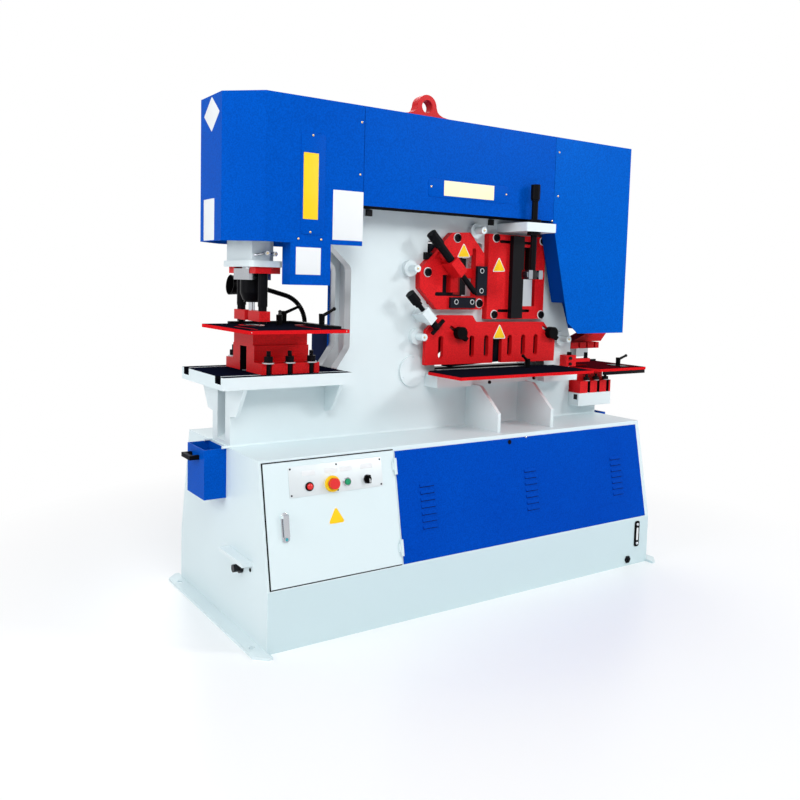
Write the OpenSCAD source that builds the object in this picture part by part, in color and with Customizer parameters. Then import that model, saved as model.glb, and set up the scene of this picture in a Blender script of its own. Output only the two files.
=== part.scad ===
// Hydraulic ironworker, 90-tonne class: punch, bar and angle shear, flat shear and notcher
// Origin on the floor under the middle of the base, X along the machine, front towards -Y, Z up.

/* [Base cabinet] */
// Length of the cabinet
base_len = 1944; // [1930:1:2400]
// Depth of the cabinet at its top
base_top_depth = 670; // [560:1:800]
// Depth of the cabinet at its foot
base_foot_depth = 846; // [780:1:1000]
// Height of the cabinet
base_h = 653; // [540:1:790]
// Height at which the sloping front ends
kink_h = 213; // [150:1:260]
// Thickness of the cabinet sheet
sheet_t = 4; // [2:0.5:6]
// How far the foot flange stands out at each end
foot_out = 54; // [20:1:80]
// Thickness of the foot flange and floor plate
foot_t = 10; // [6:1:16]
// Diameter of the anchor holes in the foot flange
anchor_d = 22; // [14:1:28]

/* [Frame] */
// Middle plane of the two frame plates
mid_y = 15; // [0:1:30]
// Thickness of each frame plate
plate_t = 48; // [36:1:56]
// Gap between the frame plates
plate_gap = 76; // [60:1:92]
// Height of the punch bed above the cabinet
bed_rise = 273; // [230:1:320]
// Thickness of the punch bed slab
bed_t = 46; // [36:1:60]
// Depth of the punch throat from the end of the frame
throat_depth = 504; // [430:1:560]
// Height of the punch throat above the bed
throat_h = 504; // [470:1:540]
// Height of the frame's top above the cabinet
frame_rise = 1252; // [1200:1:1300]

/* [Covers] */
// Half depth of the head covers
cover_half = 213; // [190:1:240]
// Height of the covers' top above the cabinet
cover_rise = 1277; // [1260:1:1320]
// Thickness of the cover sheet
cover_t = 3; // [2:0.5:4]
// Height of the left cover's bottom above the cabinet
left_cover_low = 755; // [720:1:790]
// Height of the middle cover's bottom above the cabinet
mid_cover_low = 908; // [880:1:940]
// Height of the right cover's bottom above the cabinet
right_cover_low = 405; // [380:1:440]

/* [Punch station] */
// Distance of the punch axis from the left end of the cabinet
punch_in = 127; // [110:1:150]
// Punch diameter
punch_d = 24; // [8:1:30]
// Clearance of the die bore round the punch, on the radius
die_clear = 0.5; // [0.2:0.1:1]
// Diameter of the ram
ram_d = 76; // [50:1:80]
// Running clearance of the ram, on the radius
ram_clear = 0.05; // [0.02:0.01:0.1]
// Width of the punch table along the machine
table_w = 398; // [340:1:440]
// Thickness of the table plates
table_t = 13; // [8:1:16]

/* [Shear stations] */
// Thickness of the station plates on the frame
station_t = 32; // [20:1:36]
// Thickness of the slotted guard
guard_t = 20; // [14:1:24]
// Height of the shear table's top above the cabinet
shear_table_rise = 252; // [240:1:260]
// Depth of the shear table
shear_table_depth = 280; // [220:1:320]
// Diameter of the shear beam's pivot pin
pivot_d = 100; // [70:1:110]
// Running clearance of the pivot, on the radius
pivot_clear = 0.05; // [0.02:0.01:0.1]

/* [Door and controls] */
// Width of the door
door_w = 537; // [480:1:560]
// Height of the door along the sloping front
door_h = 424; // [380:1:430]
// Thickness of the folded door
door_t = 20; // [14:1:26]
// Gap round the door
door_gap = 3; // [2:0.5:5]

/* [Hidden] */

// Ends and levels that the rest is placed from
left_x = -base_len / 2;
right_x = base_len / 2;
front_y = mid_y - plate_gap / 2 - plate_t;
rear_y = mid_y + plate_gap / 2 + plate_t;
gap_front = mid_y - plate_gap / 2;
gap_rear = mid_y + plate_gap / 2;
top_half = base_top_depth / 2;
foot_half = base_foot_depth / 2;
slope_a = atan2(foot_half - top_half, base_h - kink_h);
frame_left = left_x + 8;
frame_right = right_x - 8;
frame_top = base_h + frame_rise;
bed_top = base_h + bed_rise;
bed_low = bed_top - bed_t;
throat_x = frame_left + throat_depth;
arm_low = bed_top + throat_h;
punch_x = left_x + punch_in;
cover_top = base_h + cover_rise;
cover_left = left_x - 40;
cover_right = right_x + 23;
seam_left = left_x + 483;
seam_right = right_x - 469;
seam_gap = 2;
face_gap = 0.3;

// Shear beam pivot and stations, measured from the middle of the machine and the cabinet's top
pivot_x = -153;
pivot_z = base_h + 252;
table_z = base_h + shear_table_rise;
section_z = base_h + 511;
station_y = front_y - station_t;
guard_y = station_y - 19;
notch_step_x = right_x - 196;
notch_step_z = base_h + 51;
notch_bed_z = base_h + 112;
notch_table_z = base_h + 232;
holder_z = base_h + 322;
holder_t = 29;

blade_h = 25;
eye_x = -66;
eye_half = 23;
slide_clear = 0.05;

// Hold-downs in front of the frame
clamp_x = 356;
clamp_y = front_y - 164;
clamp_d = 27;
arm_z = base_h + 852;
arm_t = 38;
section_clamp = [2, base_h + 691];
section_clamp_y = front_y - 79;
section_clamp_d = 24;
flat_clamp = [-133, base_h + 486];
flat_clamp_y = front_y - 72;
flat_clamp_d = 20;

// Cylinder saddles cut in the top of the frame
cyl_d = 150;
cyl_seat = base_h + 947;
cyl_flange = 24;
cyl_h = 245;
shear_cyl_x = 330;
rod_d = 70;
beam_top = base_h + 887;

// Punch station levels
head_z = bed_top + 159;
head_seat = 30;
punch_table_z = head_z + table_t;
die_top = punch_table_z + 2;
die_d = 58;
bar_z0 = bed_top + 191;
bar_z1 = bed_top + 229;
nut_z0 = bed_top + 260;
nut_z1 = bed_top + 340;
ram_low = bed_top + 344;
carrier_z0 = bed_top + 368;
flange_z0 = bed_top + 392;
flange_z1 = bed_top + 415;
post_off = 97;
post_d = 36;
stud_d = 20;
ram_block = [89, 142];

// ---------------------------------------------------------------- helpers
// Points of an arc about c, from angle a0 to a1
function arc_point(c, r, a) = c + r * [cos(a), sin(a)];
function arc_points(c, r, a0, a1, n) = [for (i = [0 : n]) arc_point(c, r, a0 + (a1 - a0) * i / n)];

// Outline with each corner k cut round by radius r[k]; the outline runs anticlockwise
function unit(v) = v / norm(v);
function corner_points(p, q, s, r) =
    let (u = unit(p - q), w = unit(s - q), half = acos(u * w) / 2, back = r / tan(half))
    let (a = q + u * back, b = q + w * back, c = q + unit(u + w) * (r / sin(half)))
    let (a0 = atan2(a[1] - c[1], a[0] - c[0]), a1 = atan2(b[1] - c[1], b[0] - c[0]))
    let (turn = (a1 - a0 + 540) % 360 - 180)
    arc_points(c, r, a0, a0 + turn, 4);
function rounded(pts, r) = [
    for (k = [0 : len(pts) - 1])
        let (n = len(pts), rk = is_list(r) ? r[k] : r)
        for (pt = rk > 0 ? corner_points(pts[(k + n - 1) % n], pts[k], pts[(k + 1) % n], rk) : [pts[k]])
            pt
];
function rect_points(x0, x1, z0, z1) = [[x0, z0], [x1, z0], [x1, z1], [x0, z1]];

module block(x0, x1, y0, y1, z0, z1) {
    translate([x0, y0, z0])
        cube([x1 - x0, y1 - y0, z1 - z0]);
}
// Plate with its outline in X-Z, from y0 to y0 + t
module plate_xz(pts, y0, t) {
    translate([0, y0 + t, 0])
        rotate([90, 0, 0])
            linear_extrude(t)
                polygon(pts);
}
// Plate with its outline in Y-Z, from x0 to x0 + t
module plate_yz(pts, x0, t) {
    translate([x0, 0, 0])
        rotate([90, 0, 90])
            linear_extrude(t)
                polygon(pts);
}
// Plate with its outline in X-Y, from z0 to z0 + t
module plate_xy(pts, z0, t) {
    translate([0, 0, z0])
        linear_extrude(t)
            polygon(pts);
}
module rod_x(y, z, x0, x1, d) {
    translate([x0, y, z])
        rotate([0, 90, 0])
            cylinder(d = d, h = x1 - x0, $fn = 48);
}
module rod_y(x, z, y0, y1, d) {
    translate([x, y1, z])
        rotate([90, 0, 0])
            cylinder(d = d, h = y1 - y0, $fn = 48);
}
module rod_z(x, y, z0, z1, d) {
    translate([x, y, z0])
        cylinder(d = d, h = z1 - z0, $fn = 48);
}
module hex_z(x, y, z0, h, across) {
    translate([x, y, z0])
        cylinder(d = across / cos(30), h = h, $fn = 6);
}
// Rod along the diagonal of a hold-down, from d0 to d1 past its centre c, pointing right and down
module diag_rod(c, y, d0, d1, d) {
    translate([c[0], y, c[1]])
        rotate([0, 135, 0])
            translate([0, 0, d0])
                cylinder(d = d, h = d1 - d0, $fn = 48);
}
// Outline of a slot of width w with round ends, from centre a to centre b
function slot_points(a, b, w) =
    let (t = atan2(b[1] - a[1], b[0] - a[0]))
    concat(arc_points(a, w / 2, t + 90, t + 270, 10), arc_points(b, w / 2, t - 90, t + 90, 10));
// Local frame on the sloping front: x along, y inwards, z up the slope from the top edge
module on_slope() {
    translate([0, -top_half, base_h])
        rotate([-slope_a, 0, 0])
            children();
}

// ---------------------------------------------------------------- base
door_x1 = left_x + 14 + door_w;
door_z1 = -13;
door_z0 = door_z1 - door_h;
door_out = 3;
hinge_x = door_x1 + 1.5;
hinge_y = -door_out - 6.3;
hinge_r = 6;
hinge_spots = [door_z0 + 60, door_z1 - 60];
knuckle_h = 30;
panel_x0 = door_x1 + 8;
panel_x1 = right_x - 24;
panel_z0 = -440;
panel_z1 = -17;

module cabinet_profile(wall) {
    // Outline across the cabinet, drawn in by the wall thickness
    lift = wall > 0 ? foot_t : 0;
    polygon([
        [-foot_half + wall, lift], [foot_half - wall, lift], [foot_half - wall, kink_h],
        [top_half - wall, base_h - wall], [-top_half + wall, base_h - wall], [-foot_half + wall, kink_h]
    ]);
}
module foot_flange(side) {
    out = side * (base_len / 2 + foot_out);
    in = side * (base_len / 2 - sheet_t);
    edge = foot_half + 40;
    cut = 40;
    difference() {
        plate_xy([
            [in, -edge], [out - side * cut, -edge], [out, -edge + cut],
            [out, edge - cut], [out - side * cut, edge], [in, edge]
        ], 0, foot_t);
        for (y = [-1, 1])
            rod_z(side * (base_len / 2 + foot_out / 2), y * (foot_half - 60), -1, foot_t + 1, anchor_d);
    }
}
module base_cabinet() {
    color([0.93, 0.96, 0.97])
        union() {
            difference() {
                translate([left_x, 0, 0])
                    rotate([90, 0, 90])
                        linear_extrude(base_len)
                            cabinet_profile(0);
                translate([left_x + sheet_t, 0, 0])
                    rotate([90, 0, 90])
                        linear_extrude(base_len - 2 * sheet_t)
                            cabinet_profile(sheet_t);
                on_slope() {
                    block(left_x + 14 - door_gap, door_x1 + door_gap, -20, 12,
                        door_z0 - door_gap, door_z1 + door_gap);
                    block(panel_x0 + 20, panel_x1 - 20, -20, 12, panel_z0 + 20, panel_z1 - 20);
                    for (z = hinge_spots)
                        translate([0, 0, z])
                            block(door_x1 - 12, door_x1 + door_gap + 0.5, -20, -0.1, -knuckle_h, knuckle_h);
                }
                // Way for the pipes between the frame plates
                block(-400, -320, gap_front + 8, gap_rear - 8, base_h - 2 * sheet_t, base_h + 1);
            }
            foot_flange(-1);
            foot_flange(1);
            on_slope()
                for (z = hinge_spots)
                    hinge_fixed(z);
        }
}
// Two outer knuckles with their pin, held by a leaf on the cabinet
module hinge_fixed(z) {
    for (s = [-1, 1])
        translate([0, 0, z + s * (knuckle_h / 2 + 8)])
            union() {
                rod_z(hinge_x, hinge_y, -7.5, 7.5, 2 * hinge_r);
                block(hinge_x, panel_x0 - 0.5, hinge_y, 0.5, -7.5, 7.5);
            }
    rod_z(hinge_x, hinge_y, z - knuckle_h / 2 - 15, z + knuckle_h / 2 + 15, 6);
}
module louvre_panel() {
    rows = 7;
    color([0.0, 0.25, 0.75])
        on_slope()
            difference() {
                union() {
                    block(panel_x0, panel_x1, -2, -0.1, panel_z0, panel_z1);
                    for (x = [-278, 261, 785], k = [0 : rows - 1])
                        translate([x, -2, -154 - 26.5 * k])
                            louvre();
                }
                for (x = [-278, 261, 785], k = [0 : rows - 1])
                    translate([x, -2, -154 - 26.5 * k])
                        block(-30, 30, -4.2, 5, -9, -5);
            }
}
module louvre() {
    plate_yz([[0.5, -10], [-6, -10], [-6, -7], [0.5, 4]], -34, 68);
}
module scrap_box() {
    one_scrap_box();
    mirror([1, 0, 0])
        one_scrap_box();
}
// Open box that hangs on the end wall, with its handle
module one_scrap_box() {
    wall = 3;
    x0 = left_x - 86;
    x1 = left_x - face_gap;
    y0 = mid_y - 72;
    y1 = y0 + 173;
    z0 = base_h - 192;
    z1 = base_h - 6;
    bar_z = z1 - 43;
    color([0.0, 0.25, 0.8])
        difference() {
            union() {
                block(x0, x1, y0, y1, z0, z1);
                for (y = [y0 + 55, y0 + 128])
                    block(x0 - 32, x0 + 0.5, y - 7, y + 7, bar_z, bar_z + 16);
                block(x0 - 38, x0 - 24, y0 + 48, y0 + 135, bar_z, bar_z + 16);
            }
            block(x0 + wall, x1 - wall, y0 + wall, y1 - wall, z0 + wall, z1 + 1);
        }
    // Screw that the box hangs on
    color("silver")
        rod_x(y0 + 86, z1 - 20, x1 - wall - 2, left_x, 12);
}
module power_inlet() {
    // Rain hood over the cable connector on the end wall
    y0 = -300;
    y1 = -90;
    z = 288;
    color([0.93, 0.96, 0.97])
        difference() {
            plate_yz([[y0, z - 14], [y1, z - 14], [y1, z], [y0, z]], left_x - 40, 40 - 0.1);
            plate_yz([[y0 + 3, z - 15], [y1 - 3, z - 15], [y1 - 3, z - 3], [y0 + 3, z - 3]], left_x - 37, 30);
        }
    color([0.2, 0.2, 0.2]) {
        rod_x(-204, 242, left_x - 12, left_x - 0.1, 40);
        rod_x(-204, 242, left_x - 34, left_x - 12, 28);
    }
}
module power_pack() {
    // Oil tank with the motor, pump and valve block on it
    x0 = 250;
    x1 = 820;
    z1 = 390;
    color([0.5, 0.55, 0.6])
        union() {
            difference() {
                block(x0, x1, -160, 240, foot_t, z1);
                block(x0 + 4, x1 - 4, -156, 236, foot_t + 4, z1 - 4);
            }
            block(x0 + 40, x0 + 220, -60, 80, z1, z1 + 70);
            rod_z(x0 + 400, 40, z1, z1 + 30, 220);
            rod_z(x0 + 400, 40, z1 + 30, z1 + 230, 180);
            rod_z(x0 + 300, 170, z1, z1 + 40, 60);
        }
}

// ---------------------------------------------------------------- frame
section_window = [-90, 205, base_h + 530, base_h + 800];
angle_window = [285, 506, base_h + 490, base_h + 820];
flat_window = [-36, 600, table_z - 6, base_h + 402];
window_r = 12;

frame_outline = rounded([
    [frame_left, base_h], [frame_right, base_h], [frame_right, notch_step_z], [notch_step_x, notch_step_z],
    [notch_step_x, base_h + 364], [notch_step_x - 176, base_h + 827], [notch_step_x - 176, frame_top - 205],
    [right_x - 12, frame_top - 65], [right_x - 12, frame_top], [frame_left - 36, frame_top],
    [frame_left - 36, arm_low], [throat_x - 112, arm_low], [throat_x, arm_low - 101],
    [throat_x, bed_top + 83], [throat_x - 59, bed_top], [throat_x - 59, bed_low], [frame_left, bed_low]
], [0, 0, 0, 0, 20, 0, 0, 0, 0, 0, 0, 30, 40, 40, 30, 0, 0]);

module frame_plate(y0) {
    color([0.93, 0.96, 0.97])
        difference() {
            plate_xz(frame_outline, y0, plate_t);
            for (w = [section_window, angle_window, flat_window])
                plate_xz(rounded(rect_points(w[0], w[1], w[2], w[3]), window_r), y0 - 1, plate_t + 2);
            rod_y(pivot_x, pivot_z, y0 - 1, y0 + plate_t + 1, pivot_d);
            // Seats of the two cylinders
            for (x = [punch_x, shear_cyl_x])
                block(x - cyl_d / 2 - 5, x + cyl_d / 2 + 5, y0 - 1, y0 + plate_t + 1, cyl_seat,
                    frame_top + 1);
        }
}
module frame_front_plate() {
    difference() {
        frame_plate(front_y);
        color([0.93, 0.96, 0.97])
            for (p = stud_spots)
                rod_y(p[0], p[1], front_y - 1, front_y + stud_seat, 30);
    }
}
module frame_rear_plate() {
    frame_plate(gap_rear);
}
module web(x0, x1, z0, z1) {
    block(x0, x1, gap_front, gap_rear, z0, z1);
}
module frame_webs() {
    color([0.85, 0.9, 0.92]) {
        web(throat_x + 20, throat_x + 55, base_h, frame_top);
        web(throat_x + 70, eye_x - 112, frame_top - 35, frame_top);
        web(eye_x + 112, shear_cyl_x - 120, frame_top - 35, frame_top);
        web(frame_left - 36, frame_left + 4, arm_low, frame_top);
        web(punch_x + 60, throat_x + 20, arm_low, arm_low + 30);
        web(notch_step_x - 216, notch_step_x - 181, base_h + 925, frame_top - 210);
        web(notch_step_x - 35, notch_step_x, base_h + 25, base_h + 290);
        web(throat_x + 160, notch_step_x, base_h, base_h + 25);
        web(punch_x + 70, punch_x + 105, base_h, bed_low);
        // Chute that leads punched slugs out to the scrap box
        plate_xz([
            [frame_left, base_h], [punch_x + 70, base_h], [punch_x + 70, base_h + 110],
            [punch_x + 60, base_h + 110], [frame_left, base_h + 15]
        ], gap_front, plate_gap);
        // Chute that leads notched slugs out to the other scrap box
        plate_xz([
            [notch_step_x, base_h], [frame_right, base_h], [frame_right, base_h + 12],
            [notch_step_x + 20, notch_step_z - 2], [notch_step_x, notch_step_z - 2]
        ], gap_front, plate_gap);
    }
}
module frame_brackets() {
    t = 16;
    shear_x = [140, 446];
    low = table_z - table_t - 54;
    top = table_z - table_t;
    color([0.93, 0.96, 0.97]) {
        // Gussets and blocks that carry the shear table
        for (x = shear_x)
            plate_yz([
                [front_y, base_h], [front_y - 220, base_h], [front_y - 220, base_h + 80],
                [front_y - 96, low], [front_y, low]
            ], x, t);
        difference() {
            union() {
                block(-86, 96, front_y - 90, front_y, low, top);
                block(96, shear_x[1] + t + 60, front_y - 45, front_y, low, top);
                block(shear_x[1] + t + 60, 735, front_y - 90, front_y, low, top);
            }
            block(-40, 610, front_y - 27, front_y + 1, table_z - blade_h, top + 1);
        }
        // Gussets under the punch bed
        for (x = [frame_left, throat_x - 110]) {
            plate_yz([
                [front_y, bed_low - 115], [front_y - 50, bed_low - 108],
                [front_y - 120, bed_low], [front_y, bed_low]
            ], x, 14);
            plate_yz([
                [rear_y, bed_low - 115], [rear_y, bed_low], [rear_y + 120, bed_low],
                [rear_y + 50, bed_low - 108]
            ], x, 14);
        }
        // Arm of the angle hold-down
        difference() {
            plate_xy([
                [288, front_y], [289, front_y - 190], [293, front_y - 194], [456, front_y - 194],
                [486, front_y - 40], [486, front_y]
            ], arm_z, arm_t);
            rod_z(clamp_x, clamp_y, arm_z - 1, arm_z + arm_t + 1, clamp_d + 2 * slide_clear);
        }
        // Block of the flat hold-down
        difference() {
            translate([flat_clamp[0], 0, flat_clamp[1]])
                rotate([0, 45, 0]) {
                    translate([-33, flat_clamp_y - 18, -20])
                        cube([66, 36, 40]);
                    translate([-24, flat_clamp_y + 17, -18])
                        cube([48, front_y - flat_clamp_y - 17, 36]);
                }
            diag_rod(flat_clamp, flat_clamp_y, -60, 60, flat_clamp_d + 2 * slide_clear);
        }
        // Small lugs under the middle cover
        for (x = [-388, 245])
            block(x - 12, x + 12, front_y - 14, front_y, base_h + 880, base_h + 906);
    }
}
module pivot_pin() {
    cap_t = 8;
    color([0.93, 0.96, 0.97])
        union() {
            rod_y(pivot_x, pivot_z, front_y, rear_y, pivot_d);
            difference() {
                rod_y(pivot_x, pivot_z, front_y - cap_t, front_y, pivot_d + 32);
                for (a = [90, 210, 330])
                    rod_y(pivot_x + 56 * cos(a), pivot_z + 56 * sin(a),
                        front_y - cap_t - 1, front_y - cap_t + 3, 8);
            }
        }
}
stud_seat = 20;
stud_spots = [[157, base_h + 851], [-186, base_h + 679], [-143, base_h + 397], [693, base_h + 374]];
module tie_studs() {
    color([0.95, 0.97, 0.98])
        for (p = stud_spots) {
            rod_y(p[0], p[1], front_y - 22, front_y - 0.001, 66);
            rod_y(p[0], p[1], front_y - 70, front_y + stud_seat, 30);
        }
}
module lifting_eye() {
    eye_r = 48.5;
    half = eye_half;
    eye_z = base_h + 1361;
    color([0.85, 0.12, 0.12])
        difference() {
            plate_xz(concat(
                [[eye_x - 110, frame_top - 120], [eye_x + 110, frame_top - 120],
                    [eye_x + 110, cover_top + 46], [eye_x + 84, cover_top + 50],
                    [eye_x + 66, cover_top + 57], [eye_x + 55, cover_top + 67]],
                arc_points([eye_x, eye_z], eye_r, 0, 180, 20),
                [[eye_x - 55, cover_top + 67], [eye_x - 66, cover_top + 57],
                    [eye_x - 84, cover_top + 50], [eye_x - 110, cover_top + 46]]
            ), mid_y - half, 2 * half);
            rod_y(eye_x, eye_z, mid_y - half - 1, mid_y + half + 1, 54);
        }
    // Packing that clamps the eye between the frame plates
    color([0.85, 0.12, 0.12])
        for (y = [[gap_front, mid_y - half], [mid_y + half, gap_rear]])
            block(eye_x - 110, eye_x + 110, y[0], y[1], frame_top - 120, frame_top - 20);
}

// ---------------------------------------------------------------- covers
cover_front = mid_y - cover_half;
cover_back = mid_y + cover_half;
end_half = 101;
chamfer_x = 118;

module hood(pts_top, low, z_top) {
    // Sheet hood closed at its top, drawn from its plan outline
    plate_xy(pts_top, low, z_top - low);
}
module left_cover() {
    function plan(t) = [
        [cover_left + t, mid_y - end_half + t * 0.4], [cover_left + chamfer_x + t * 0.4, cover_front + t],
        [seam_left - seam_gap / 2 + (t > 0 ? 1 : 0), cover_front + t],
        [seam_left - seam_gap / 2 + (t > 0 ? 1 : 0), cover_back - t],
        [cover_left + chamfer_x + t * 0.4, cover_back - t], [cover_left + t, mid_y + end_half - t * 0.4]
    ];
    color([0.0, 0.3, 0.8])
        difference() {
            hood(plan(0), base_h + left_cover_low, cover_top);
            hood(plan(cover_t), base_h + left_cover_low - 1, cover_top - cover_t);
        }
    color([0.0, 0.3, 0.8]) {
        cover_posts(cover_left + chamfer_x + 200, seam_left - 60);
        throat_flap();
        hose_box();
    }
}
// Stand-offs that seat a cover on the top of the frame plates
module cover_posts(x0, x1) {
    for (x = [x0, x1], y = [front_y + 8, gap_rear + 8])
        block(x, x + 30, y, y + 30, frame_top, cover_top - cover_t);
}
// Sheet box for the hoses behind the throat, open below, with the sheet that closes the frame above it
module hose_box() {
    x0 = throat_x - 7;
    x1 = throat_x + 140;
    top = bed_top + 160;
    difference() {
        block(x0, x1, rear_y, rear_y + 135, base_h, top);
        block(x0 + cover_t, x1 - cover_t, rear_y + cover_t, rear_y + 135 - cover_t, base_h - 1,
            top - cover_t);
    }
    block(x0, x0 + 60, rear_y, rear_y + cover_t, top, base_h + left_cover_low + 10);
}
// Flap that hangs from the left cover in front of the ram
module throat_flap() {
    x0 = left_x + 180;
    x1 = left_x + 346;
    low = base_h + 603;
    top = base_h + left_cover_low;
    y0 = cover_front;
    block(x0, x1, y0, y0 + 3, low, top);
    block(x0, x0 + 3, y0, y0 + 66, low, top);
    block(x0 + 4, x1, y0, y0 + cover_t + 4, top - 8, top);
    block(x0 + 4, x1, y0 + cover_t, y0 + cover_t + 4, top - 8, top + 30);
}
module middle_cover() {
    x0 = seam_left + seam_gap / 2;
    x1 = seam_right - seam_gap / 2;
    color([0.0, 0.3, 0.8])
        difference() {
            block(x0, x1, cover_front, cover_back, base_h + mid_cover_low, cover_top);
            block(x0 - 1, x1 + 1, cover_front + cover_t, cover_back - cover_t,
                base_h + mid_cover_low - 1, cover_top - cover_t);
            block(eye_x - 111, eye_x + 111, mid_y - eye_half - 1, mid_y + eye_half + 1,
                cover_top - 10, cover_top + 1);
        }
    color([0.0, 0.3, 0.8])
        cover_posts(x0 + 30, x1 - 60);
}
module right_cover() {
    x0 = seam_right + seam_gap / 2;
    low = base_h + right_cover_low;
    side = [
        [x0, base_h + mid_cover_low], [seam_right + 118, low + 50], [seam_right + 186, low],
        [cover_right, low]
    ];
    outer = concat(side, [[cover_right, cover_top], [x0, cover_top]]);
    inner = concat(
        [[x0 - 1, base_h + mid_cover_low - 1], [seam_right + 117, low + 49], [seam_right + 185, low - 1],
         [cover_right - cover_t, low - 1]],
        [[cover_right - cover_t, cover_top - cover_t], [x0 - 1, cover_top - cover_t]]
    );
    edge_x = x0 + 0.8 * (seam_right + 118 - x0);
    edge_z = low + 50 + 0.2 * (mid_cover_low - right_cover_low - 50);
    edge = [[x0, base_h + mid_cover_low], [edge_x, edge_z], [edge_x + cover_t, edge_z],
            [x0 + cover_t, base_h + mid_cover_low]];
    color([0.0, 0.3, 0.8])
        union() {
            difference() {
                plate_xz(outer, cover_front, 2 * cover_half);
                plate_xz(inner, cover_front + cover_t, 2 * cover_half - 2 * cover_t);
            }
            // Returns along the slanting left edge, front and back
            plate_xz(edge, cover_front + cover_t / 2, station_y - cover_front - cover_t / 2 - 9);
            plate_xz(edge, rear_y + 3, cover_back - cover_t / 2 - rear_y - 3);
            cover_posts(x0 + 20, right_x - 60);
        }
}
module cylinder_barrels() {
    color([0.35, 0.37, 0.4])
        for (x = [punch_x, shear_cyl_x])
            difference() {
                union() {
                    block(x - cyl_d / 2 - 4.5, x + cyl_d / 2 + 4.5, front_y, rear_y, cyl_seat,
                        cyl_seat + cyl_flange);
                    rod_z(x, mid_y, cyl_seat + cyl_flange, cyl_seat + cyl_h, cyl_d);
                }
                rod_z(x, mid_y, cyl_seat - 1, cyl_seat + cyl_h - 20, rod_d + 2 * ram_clear);
            }
}

// ---------------------------------------------------------------- punch station
module tee_slot(x0, x1, y, z) {
    block(x0, x1, y - 7, y + 7, z - 20, z + 1);
    block(x0, x1, y - 12, y + 12, z - 20, z - 8);
}
clamp_half = 160;
clamp_spots = [for (dx = [-3, 83, 173], dy = [-clamp_half, clamp_half]) [punch_x + dx, mid_y + dy]];
bolt_d = 16;
module punch_bed() {
    color([0.9, 0.94, 0.95])
        difference() {
            block(frame_left - 79, throat_x - 59.3, mid_y - 209, mid_y + 209, bed_low, bed_top);
            for (dy = [-clamp_half, clamp_half])
                tee_slot(frame_left - 80, throat_x, mid_y + dy, bed_top);
            rod_z(punch_x, mid_y, bed_low - 1, bed_top + 1, 70);
            for (p = clamp_spots)
                rod_z(p[0], p[1], bed_top - 20, bed_top + 1, bolt_d);
        }
}
module die_bolster() {
    x0 = punch_x - 33;
    x1 = punch_x + 193;
    flange = 40;
    half = clamp_half + 6;
    slot = bolt_d / 2 + 3;
    color([0.87, 0.12, 0.13])
        difference() {
            union() {
                block(x0, x1 + 12, mid_y - half, mid_y + half, bed_top, bed_top + flange);
                block(x0, x1, mid_y - 99, mid_y + 97, bed_top + flange, head_z - 58);
                block(x0, x1, mid_y - 88, mid_y + 90, head_z - 58, head_z);
            }
            block(x0 - 1, punch_x, mid_y - 30, mid_y + 30, bed_top - 1, head_z - 65);
            rod_z(punch_x, mid_y, bed_top - 1, head_z + 1, punch_d + 20);
            rod_z(punch_x, mid_y, head_z - head_seat, head_z + 1, die_d);
            for (p = clamp_spots)
                block(p[0] - slot, p[0] + slot,
                    p[1] < mid_y ? mid_y - half - 1 : p[1] - slot,
                        p[1] < mid_y ? p[1] + slot : mid_y + half + 1,
                    bed_top - 1, bed_top + flange + 1);
        }
}
module clamp_bolts() {
    seat = bed_top + 40;
    color([0.15, 0.15, 0.17])
        for (p = clamp_spots) {
            rod_z(p[0], p[1], bed_top - 20, seat + 46, bolt_d);
            difference() {
                union() {
                    rod_z(p[0], p[1], seat, seat + 4, 44);
                    hex_z(p[0], p[1], seat + 4, 22, 31);
                }
                rod_z(p[0], p[1], seat - 1, seat + 28, bolt_d - 0.5);
            }
        }
}
module punch_die() {
    color("silver")
        difference() {
            rod_z(punch_x, mid_y, head_z - head_seat, die_top, die_d);
            rod_z(punch_x, mid_y, head_z - head_seat - 1, die_top + 1, punch_d + 2 * die_clear);
            rod_z(punch_x, mid_y, head_z - head_seat - 1, die_top - 12, punch_d + 12);
        }
}
table_x0 = punch_x - 151;
table_y0 = mid_y - 315;
table_y1 = mid_y + 122;
lever_spots = [
    [table_x0 + table_w - 18, mid_y - 136], [punch_x + 111, mid_y - 9],
    [table_x0 + table_w - 56, table_y1 - 9]
];
lever_d = 10;
module punch_table() {
    color([0.87, 0.12, 0.13])
        difference() {
            block(table_x0, table_x0 + table_w, table_y0, table_y1, head_z, punch_table_z);
            rod_z(punch_x, mid_y, head_z - 1, punch_table_z + 1, die_d + 10);
            // Slots for the fence
            for (x = [punch_x - 100, punch_x + 150])
                block(x, x + 10, mid_y - 260, mid_y - 60, head_z - 1, punch_table_z + 1);
        }
    color([0.15, 0.15, 0.17])
        rod_z(lever_spots[1][0], lever_spots[1][1], punch_table_z, punch_table_z + 26, lever_d);
}
fence_t = 9;
module table_fence() {
    z0 = punch_table_z + face_gap;
    x1 = table_x0 + table_w - 6;
    color([0.1, 0.1, 0.12]) {
        plate_xy([
            [punch_x - 47, table_y1 - 17], [x1 - 26, table_y1 - 17], [x1 - 26, mid_y - 264],
            [x1, mid_y - 264], [x1, table_y1], [punch_x - 47, table_y1]
        ], z0, fence_t);
        for (p = [lever_spots[0], lever_spots[2]])
            rod_z(p[0], p[1], z0 + fence_t, z0 + fence_t + 26, lever_d);
    }
}
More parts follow.
